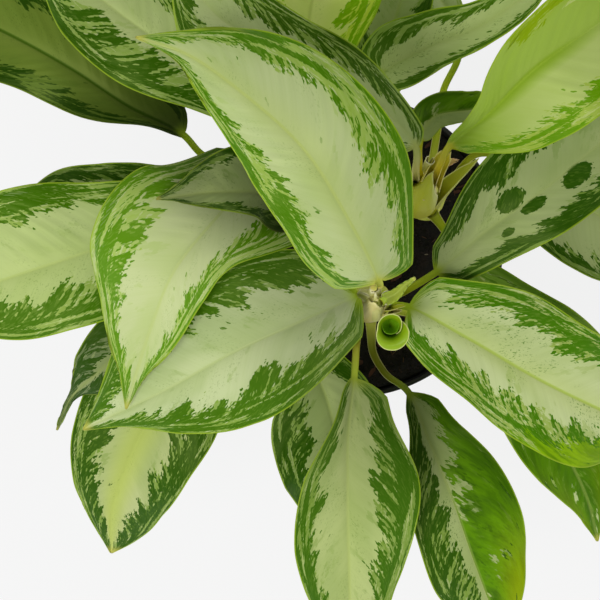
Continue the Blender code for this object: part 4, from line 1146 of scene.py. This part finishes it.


# In each leaf's looks, shade, base_shade and right_shade are painted shade.
LOOKS = {
    "leaf_a1": look(0.62, 0.6, pale=(183, 197, 137), stripe=(142, 172, 66), dark=(70, 120, 0), glow=0.3,
        streaks=0.52, right_shade=0.15, rib=0.5, stalk=(214, 204, 96)),
    "leaf_a2": look(0.46, 0.48, pale=(195, 207, 154), stripe=(122, 156, 48), streaks=0.56, base_shade=0.55,
        rib=0.15),
    "leaf_a3": look(0.46, 0.58, OLD_AND_SHADED, pale=(180, 194, 124), dark=(56, 102, 0), streaks=0.54, base_shade=0.5,
        stalk=(150, 146, 46)),
    "leaf_a4": look(0.5, 0.5, OLD_AND_SHADED, shade=0.16, streaks=0.55),
    "leaf_a5": look(0.52, 0.24, OLD_AND_SHADED, stripe=(118, 148, 54), solid=(92, 142, 0), solid_from=0.12,
        solid_side=-1.0, ripe=0.85, base_shade=0.5, speckle=0.7, streaks=0.56, stalk=(126, 132, 34)),
    "leaf_a6": look(0.58, 0.48, pale=(200, 213, 152), solid=(134, 180, 8), solid_from=0.74, solid_side=1.0,
        stripe=(146, 172, 70), dark=(66, 120, 0), base_shade=0.1, speckle=0.7, rib=0.7,
        rib_tone=(168, 192, 66), glow=0.3),
    "leaf_a7": look(0.52, 0.55, OLD_AND_SHADED, shade=0.15, streaks=0.58, base_shade=0.25, rib=0.1,
        stalk=(160, 166, 30)),
    "leaf_a8": look(solid=(76, 124, 0), solid_from=-1.0, ripe=0.25, dark=(52, 96, 0)),
    "young_leaf_a": look(9.0, 9.0, YOUNG),
    "leaf_b1": look(0.72, 0.56, LIME, shade=0.06, fresh=0.95, left_start=0.42, speckle=0.0, rib=0.05,
        stalk=(226, 206, 50)),
    "leaf_b2": look(0.5, 0.76, OLD_AND_SHADED, shade=0.2, stalk=(170, 176, 40)),
    "leaf_b3": look(0.4, 0.4, pale=(182, 196, 134), stripe=(124, 154, 56), dark=(52, 92, 0), rib=0.1,
        stalk=(204, 198, 122)),
    "leaf_b4": look(0.6, 9.0, OLD_AND_SHADED, shade=0.25, solid=(92, 140, 0), solid_from=0.0, solid_side=-1.0,
        stalk=(196, 184, 36)),
    "leaf_b6": look(0.5, 0.5, OLD_AND_SHADED, solid=(132, 170, 60), solid_from=-1.0, dark=(66, 110, 10)),
    "leaf_c1": look(0.58, 0.56, pale=(193, 204, 147), stripe=(158, 186, 84), base_shade=0.7,
        dark=(88, 138, 8), streaks=0.53),
    "leaf_c2": look(0.58, 0.62, OLD_AND_SHADED, shade=0.56, base_shade=0.45),
    "leaf_c3": look(0.42, 0.62, pale=(184, 200, 130), streaks=0.54),
    "leaf_c4": look(0.5, 0.5, OLD_AND_SHADED),
    "leaf_c5": look(0.5, 0.4, OLD_AND_SHADED, pale=(184, 194, 132), glow=1.0, streaks=0.56),
    "leaf_c6": look(0.12, 0.16, OLD_AND_SHADED, stripe=(112, 132, 84), shade=0.3, streaks=0.56),
    "leaf_d1": look(0.6, 0.6, OLD_AND_SHADED, pale=(134, 160, 58), shade=0.45, base_shade=0.45, rib=0.9,
        rib_tone=(70, 112, 0)),
    "leaf_d2": look(0.34, 0.56, stripe=(134, 162, 68), pale=(176, 190, 126), dark=(50, 92, 0), rib=0.1,
        shade=0.1),
    # leaf_d3's colours are lighter than its own light yellow-green: painted light.
    "leaf_d3": look(0.6, 0.6, pale=(220, 236, 130), stripe=(190, 220, 50), dark=(124, 180, 0)),
    "leaf_d4": look(0.5, 0.5, OLD_AND_SHADED, shade=0.15),
    "leaf_d5": look(0.46, 0.7, pale=(184, 200, 128), stripe=(136, 166, 70), dark=(64, 106, 6), flecks=0.06,
        speckle=0.7, rib=0.1),
}
VEINS = vein_tree()
for number, (name, leaf) in enumerate(LEAVES.items()):
    body, length = leaf_skin(name, leaf)
    width = sum(leaf["left"] + leaf["right"]) / 10 * 1.3
    relief = min(1.0, width / 30) * MM
    own_look = {**LOOKS.get(name, {}), "length": length, "half_width": width, "seed": number}
    body.data = grown_mesh(body, VEINS, {
        "Blade Length": length, "Vein Spacing": VEIN_SPACING, "Vein Height": VEIN_HEIGHT * relief,
        "Pucker Height": PUCKER_HEIGHT * relief, "Seed": number * 1.7,
        "Material": leaf_finish(name, own_look)})
    body.data.shade_smooth()
    hand_over(body, name)

# Crowns: the newest sheaths wrap each cane's top into a slender cone, and thin papery flaps stand
# where a petiole leaves its sheath. Each is one curved sheet with a cream rim, laid along a short line.
CROWN_ROWS = 44
CROWN_COLUMNS = 61
SHEET_RIM_THICKNESS = 0.35
SHEET_BODY_THICKNESS = 0.75
FRAY_POINTS = 15

# Colours of each kind of sheath: low down, high up and at the rim.
SHEATH_COLOURS = {
    "beige": ((158, 146, 66), (204, 194, 118), (226, 218, 150)),
    "olive": ((150, 146, 34), (190, 184, 48), (222, 212, 120)),
    "yellow": ((190, 180, 40), (214, 206, 60), (232, 222, 140)),
    "inner": ((96, 140, 8), (110, 160, 10), (110, 160, 10)),
    "lime": ((168, 168, 34), (176, 184, 40), (214, 214, 128)),
    "cream": ((168, 170, 84), (196, 194, 116), (232, 228, 184)),
    "papery": ((176, 160, 80), (206, 178, 118), (214, 172, 132)),
}


def sheath_skin(kind):
    """Smooth sheath tissue with fine lengthwise lines and a pale dry rim."""
    low, high, rim = SHEATH_COLOURS[kind]
    material, place = new_material(kind + "_sheath")
    across, along, edge = masks_of(place.tree, "across", "along", "edge")
    lines = noise(vector(across * 26.0, along * 1.5, 0.0), detail=3.0)
    tone = layered(low, (fade(along, 0.1, 0.8), high), (fade(lines, 0.45, 0.7) * 0.35, low), (edge, rim))
    return coat(material, tone, 0.48, {"Specular IOR Level": 0.3, "Normal": bump(lines, 0.3, 0.3)})


def curved_sheet(name, node, kind, seed, line, opening, radii, spans, slant, frayed):
    """Sheet curled round a line like a gutter, open towards one side, with a slanted or frayed end.

    radii and spans: distance from the line and half turn in degrees, evenly from foot to end.
    """
    path = Path(line)
    w = np.linspace(-1.0, 1.0, CROWN_COLUMNS)[None, :]
    t = np.linspace(0.0, 1.0, CROWN_ROWS)[:, None]
    draw = np.random.default_rng(seed)
    rough = np.interp(w[0], np.linspace(-1, 1, FRAY_POINTS), draw.uniform(-1, 1, FRAY_POINTS))[None, :]
    share = t * (1.0 - slant * np.abs(w) ** 1.5 - frayed * (0.5 + 0.5 * rough))
    stops = np.linspace(0.0, 1.0, len(radii))
    radius = (np.interp(share, stops, radii) * (1 + 0.04 * rough * share))[..., None]
    turn = (w * np.radians(np.interp(share, stops, spans)))[..., None]
    centre = path.read(share * path.along[-1])
    heading = path.heading(share * path.along[-1])
    mouth = np.array(opening, dtype=float)
    mouth = unit(mouth - heading * np.sum(heading * mouth, axis=-1, keepdims=True))
    away = np.cross(heading, mouth) * np.sin(turn) - mouth * np.cos(turn)
    body = (1 - share) * np.cos(w * math.pi / 2) ** 0.7
    thick = (SHEET_RIM_THICKNESS + SHEET_BODY_THICKNESS * body)[..., None]
    rim = np.clip(np.maximum((np.abs(w) - 0.9) / 0.1 + 0 * t, (t - 0.92) / 0.08 + 0 * w), 0, 1)
    sheet = closed_skin(name, centre + away * (radius - thick), centre + away * radius,
                        {"across": w + 0 * t, "along": share, "edge": rim}, SHEATH_SKINS[kind])
    hand_over(sheet, node)


# Sheets of the crowns: name, which starts with its cane, kind and seed, then what curved_sheet asks for.
CROWN_SHEETS = [
    ("a_cone", "beige", 1, [(6.6, -34.5, 258), (7.4, -34.4, 284), (10.2, -29.6, 306)], (0.5, 0.85, 0.2),
        (7.8, 6.4, 2.6), (150, 135, 95), 0.25, 0.03),
    ("a_collar", "cream", 2, [(12.6, -31.4, 262), (14.6, -29.8, 284), (15.6, -28.8, 301)], (0.9, 0.3, 0.3),
        (3.0, 3.5, 3.9), (150, 140, 115), 0.25, 0.03),
    ("a_flap", "lime", 3, [(13, -33.6, 270), (19, -33.4, 292), (28.6, -31.8, 301)], (0.0, 0.4, 1.0),
        (3.8, 2.2, 0.4), (85, 65, 40), 0.0, 0.05),
    ("a_wrap", "cream", 12, [(9.5, -32.0, 262), (9.0, -28.5, 284), (8.1, -24.3, 304)], (0.1, 0.9, 0.3),
        (6.4, 4.8, 2.0), (165, 165, 165), 0.1, 0.03),
    ("a_heart", "beige", 16, [(9.0, -31.4, 266), (9.2, -31.0, 286), (9.2, -30.8, 298), (9.6, -30.2, 305)],
        (0.1, 0.9, 0.3), (5.6, 5.2, 4.4, 0.4), (178, 178, 178, 178), 0.0, 0.0),
    ("a_lap", "beige", 13, [(13.0, -35.0, 262), (16.5, -34.8, 282), (21.5, -34.8, 293)], (0.0, 0.3, 1.0),
        (5.0, 3.6, 1.8), (90, 80, 60), 0.1, 0.1),
    ("a_spine", "cream", 18, [(9.0, -40.6, 270), (9.2, -36.5, 289), (9.2, -31.0, 301), (8.6, -26.8, 306)],
        (0.0, 0.9, 0.3), (1.0, 3.3, 3.2, 0.4), (178, 178, 178, 178), 0.0, 0.0),
    ("a_hood", "cream", 19, [(8.4, -31.4, 284), (6.0, -28.9, 291), (0.6, -26.6, 290)], (0.0, 0.2, 1.0),
        (3.6, 4.1, 1.8), (178, 178, 178), 0.0, 0.0),
    ("b_wing", "yellow", 14, [(37.6, 27.0, 256), (40.4, 34.6, 270), (45.6, 44.6, 284)], (0.1, -0.5, 1.0),
        (6.0, 4.8, 4.2), (100, 95, 75), 0.05, 0.16),
    ("b_cone", "lime", 4, [(33.8, 21.3, 234), (35.8, 26.5, 260), (40.4, 37.0, 279)], (0.6, 0.7, 0.4),
        (8.9, 8.1, 3.6, 1.4), (150, 140, 120, 85), 0.3, 0.04),
    ("b_lap", "lime", 17, [(38.6, 19.5, 216), (47.0, 29.5, 226), (65.0, 45.5, 236)], (-0.6, 0.4, 1.0),
        (5.8, 4.2, 1.6), (100, 85, 60), 0.25, 0.02),
    ("b_curl", "cream", 5, [(35.8, 37.5, 258), (37.0, 40.5, 272), (37.6, 41.6, 281)], (0.3, 0.9, 0.0),
        (1.6, 2.3, 2.6), (165, 165, 150), 0.15, 0.05),
    ("b_flap", "papery", 6, [(41.5, 35.5, 262), (46.5, 39.5, 273), (52.0, 41.0, 279)], (0.2, -0.5, 1.0),
        (2.6, 3.0, 1.6), (60, 70, 60), 0.1, 0.25),
    ("c_cone", "olive", 7, [(-31.5, 25.5, 236), (-32.2, 27.5, 258), (-34.5, 30.5, 276)], (-0.3, 0.9, 0.3),
        (7.6, 5.8, 2.0), (150, 130, 85), 0.3, 0.04),
    ("d_cone", "olive", 8, [(-12.6, 47.5, 226), (-13.2, 48.6, 248), (-15.5, 51.5, 266)], (-0.4, 0.8, 0.3),
        (7.6, 5.8, 2.0), (150, 130, 85), 0.3, 0.04),
]
SHEATH_SKINS = {kind: sheath_skin(kind) for kind in SHEATH_COLOURS}
for name, *shape in CROWN_SHEETS:
    curved_sheet("crown_" + name, "cane_" + name[0], *shape)

# Rolled leaf: the newest leaf of the front cane, still rolled round itself. It is one sheet: below, its
# edges overlap by a good part of a turn, and at the mouth it opens into a lip that is longest in front.
ROLLED_LINE = [(17.4, -41.4, 240.0), (19.0, -43.0, 270.0), (16.4, -42.6, 304.0), (15.6, -44.0, 326.0)]
# Radii of the roll at shares of its length, then the angles where its two edges lie at foot and mouth.
ROLLED_RADII = ((0.0, 1.2), (0.2, 1.8), (0.6, 2.1), (0.88, 2.6), (1.0, 4.9))
ROLL_START, ROLL_END = -50.0, 410.0
MOUTH_START, MOUTH_END = 60.0, 348.0
ROLLED_THICKNESS = 0.4
MOUTH_REACH = 7.0
MOUTH_RISE = 11.0
MOUTH_ROWS = 34
TUBE_ROWS = 40
ROLL_COLUMNS = 90


def rolled_leaf_skin():
    """Bright yellow-green young tissue, darker inside the roll, with a cream edge."""
    material, place = new_material("rolled_leaf_finish")
    across, along, edge = masks_of(place.tree, "across", "along", "edge")
    lines = noise(vector(across * 30.0, along * 2.0, 0.0))
    tone = layered((96, 140, 8), (fade(along, 0.78, 0.9), (138, 170, 14)), (lines * 0.2, (110, 150, 10)),
                   (fade(along, 0.5, 0.1), (150, 160, 60)), (edge, (206, 212, 130)))
    return coat(material, tone, 0.4, {"Specular IOR Level": 0.3, "Normal": bump(lines, 0.15, 0.2)})


def make_rolled_leaf():
    """The rolled sheet, row by row from its foot to the rim of its mouth."""
    path = Path(ROLLED_LINE)
    tube = np.linspace(0.0, 1.0, TUBE_ROWS)
    mouth = np.linspace(0.0, 1.0, MOUTH_ROWS)[1:]
    v = np.concatenate([0 * tube, mouth])[:, None]
    share = np.concatenate([tube, 0 * mouth + 1.0])[:, None]
    w = np.linspace(0.0, 1.0, ROLL_COLUMNS)[None, :]
    first = ROLL_START + (MOUTH_START - ROLL_START) * v
    last = ROLL_END + (MOUTH_END - ROLL_END) * v**1.5
    turn = np.radians(first + (last - first) * w)
    stops = np.array(ROLLED_RADII)
    radius = np.interp(share, stops[:, 0], stops[:, 1]) * (0.86 + 0.2 * w)
    front = np.maximum(0.0, -np.sin(turn))
    rim_reach = MOUTH_REACH + 4.2 * front**1.5 + 1.8 * np.maximum(0.0, np.cos(turn)) * w
    radius = radius + (rim_reach - radius) * v**1.25
    rise = MOUTH_RISE * (v - (0.75 * front + 0.1) * v**2.2)
    centre = path.read(share[:, 0] * path.along[-1])[:, None, :]
    outer = centre + np.stack([radius * np.cos(turn), radius * np.sin(turn), rise], axis=-1)
    normal = unit(np.cross(np.gradient(outer, axis=1), np.gradient(outer, axis=0)))
    toward = centre + np.stack([0 * rise, 0 * rise, rise + 4.0 * v], axis=-1) - outer
    normal = normal * np.sign(np.sum(normal * toward, axis=-1, keepdims=True))
    rim = np.clip(np.maximum((np.abs(w - 0.5) - 0.485) / 0.012 + 0 * v, (v - 0.93) / 0.05 + 0 * w), 0, 1)
    body = closed_skin("rolled_leaf_skin", outer + normal * ROLLED_THICKNESS, outer,
                       {"across": w + 0 * v, "along": 0.8 * share + 0.2 * v + 0 * w, "edge": rim},
                       rolled_leaf_skin())
    hand_over(body, "rolled_leaf_a")


make_rolled_leaf()
curved_sheet("rolled_leaf_core", "rolled_leaf_a", "inner", 15,
             [(15.7, -43.4, 319.5), (15.6, -43.2, 323.5), (15.5, -43.0, 328)],
             (-0.3, 1.0, 0.0), (0.45, 2.9, 4.3), (178, 178, 178), 0.0, 0.0)

# Floor, light and camera: a pale level floor that glows a little, so that it stays even, a soft
# surround that is brighter by the horizon, one large soft light above, and a camera that looks
# straight down.
FLOOR_SIZE = 2500.0
FLOOR_GLOW = 0.82
LAMP_WIDTH = 1.1
LAMP_POWER = 19.0
LAMP_PLACE = (-0.7, -0.8, 1.9)
LAMP_TARGET = (0.0, 0.0, 0.25)
CAMERA_HEIGHT = 1.6
CAMERA_PLACE = (-0.0292, -0.0303)
LENS = 154.9
WHITE = (1.0, 1.0, 1.0, 1.0)


def make_stage():
    """Pale floor under the pot."""
    material, place = new_material("pale_floor")
    coat(material, layered((92, 92, 92), (noise(place, 3.0), (98, 98, 98))), 0.9,
         {"Specular IOR Level": 0.0, "Emission Color": WHITE, "Emission Strength": FLOOR_GLOW})
    bm = bmesh.new()
    bmesh.ops.create_grid(bm, x_segments=8, y_segments=8, size=FLOOR_SIZE)
    new_body("pale_floor", bm, material)


def make_light():
    """Soft surround and one large soft light."""
    world = bpy.data.worlds.new("studio_surround")
    bpy.context.scene.world = world
    world.use_nodes = True
    direction = put("ShaderNodeTexCoord", None, "Generated", world.node_tree)
    sky = world.node_tree.nodes["Background"].inputs
    feed(sky["Strength"], remap(level(direction), 0.2, 0.95, 0.9, 0.3))
    feed(sky["Color"], WHITE)
    lamp = bpy.data.lights.new("soft_light", "AREA")
    lamp.shape = "DISK"
    lamp.size = LAMP_WIDTH
    lamp.energy = LAMP_POWER
    body = new_object("soft_light", lamp)
    body.location = LAMP_PLACE
    x, y, z = np.array(LAMP_TARGET) - LAMP_PLACE
    body.rotation_euler = (math.atan2(math.hypot(x, y), -z), 0.0, math.atan2(y, x) - math.pi / 2)


def make_camera():
    """Camera straight above the plant."""
    lens = bpy.data.cameras.new("overhead_camera")
    lens.lens = LENS
    lens.sensor_width = 36.0
    lens.clip_end = 20.0
    camera = new_object("overhead_camera", lens)
    camera.location = (*CAMERA_PLACE, CAMERA_HEIGHT)
    bpy.context.scene.camera = camera


make_stage()
make_light()
make_camera()
bpy.context.scene.view_settings.view_transform = "Standard"
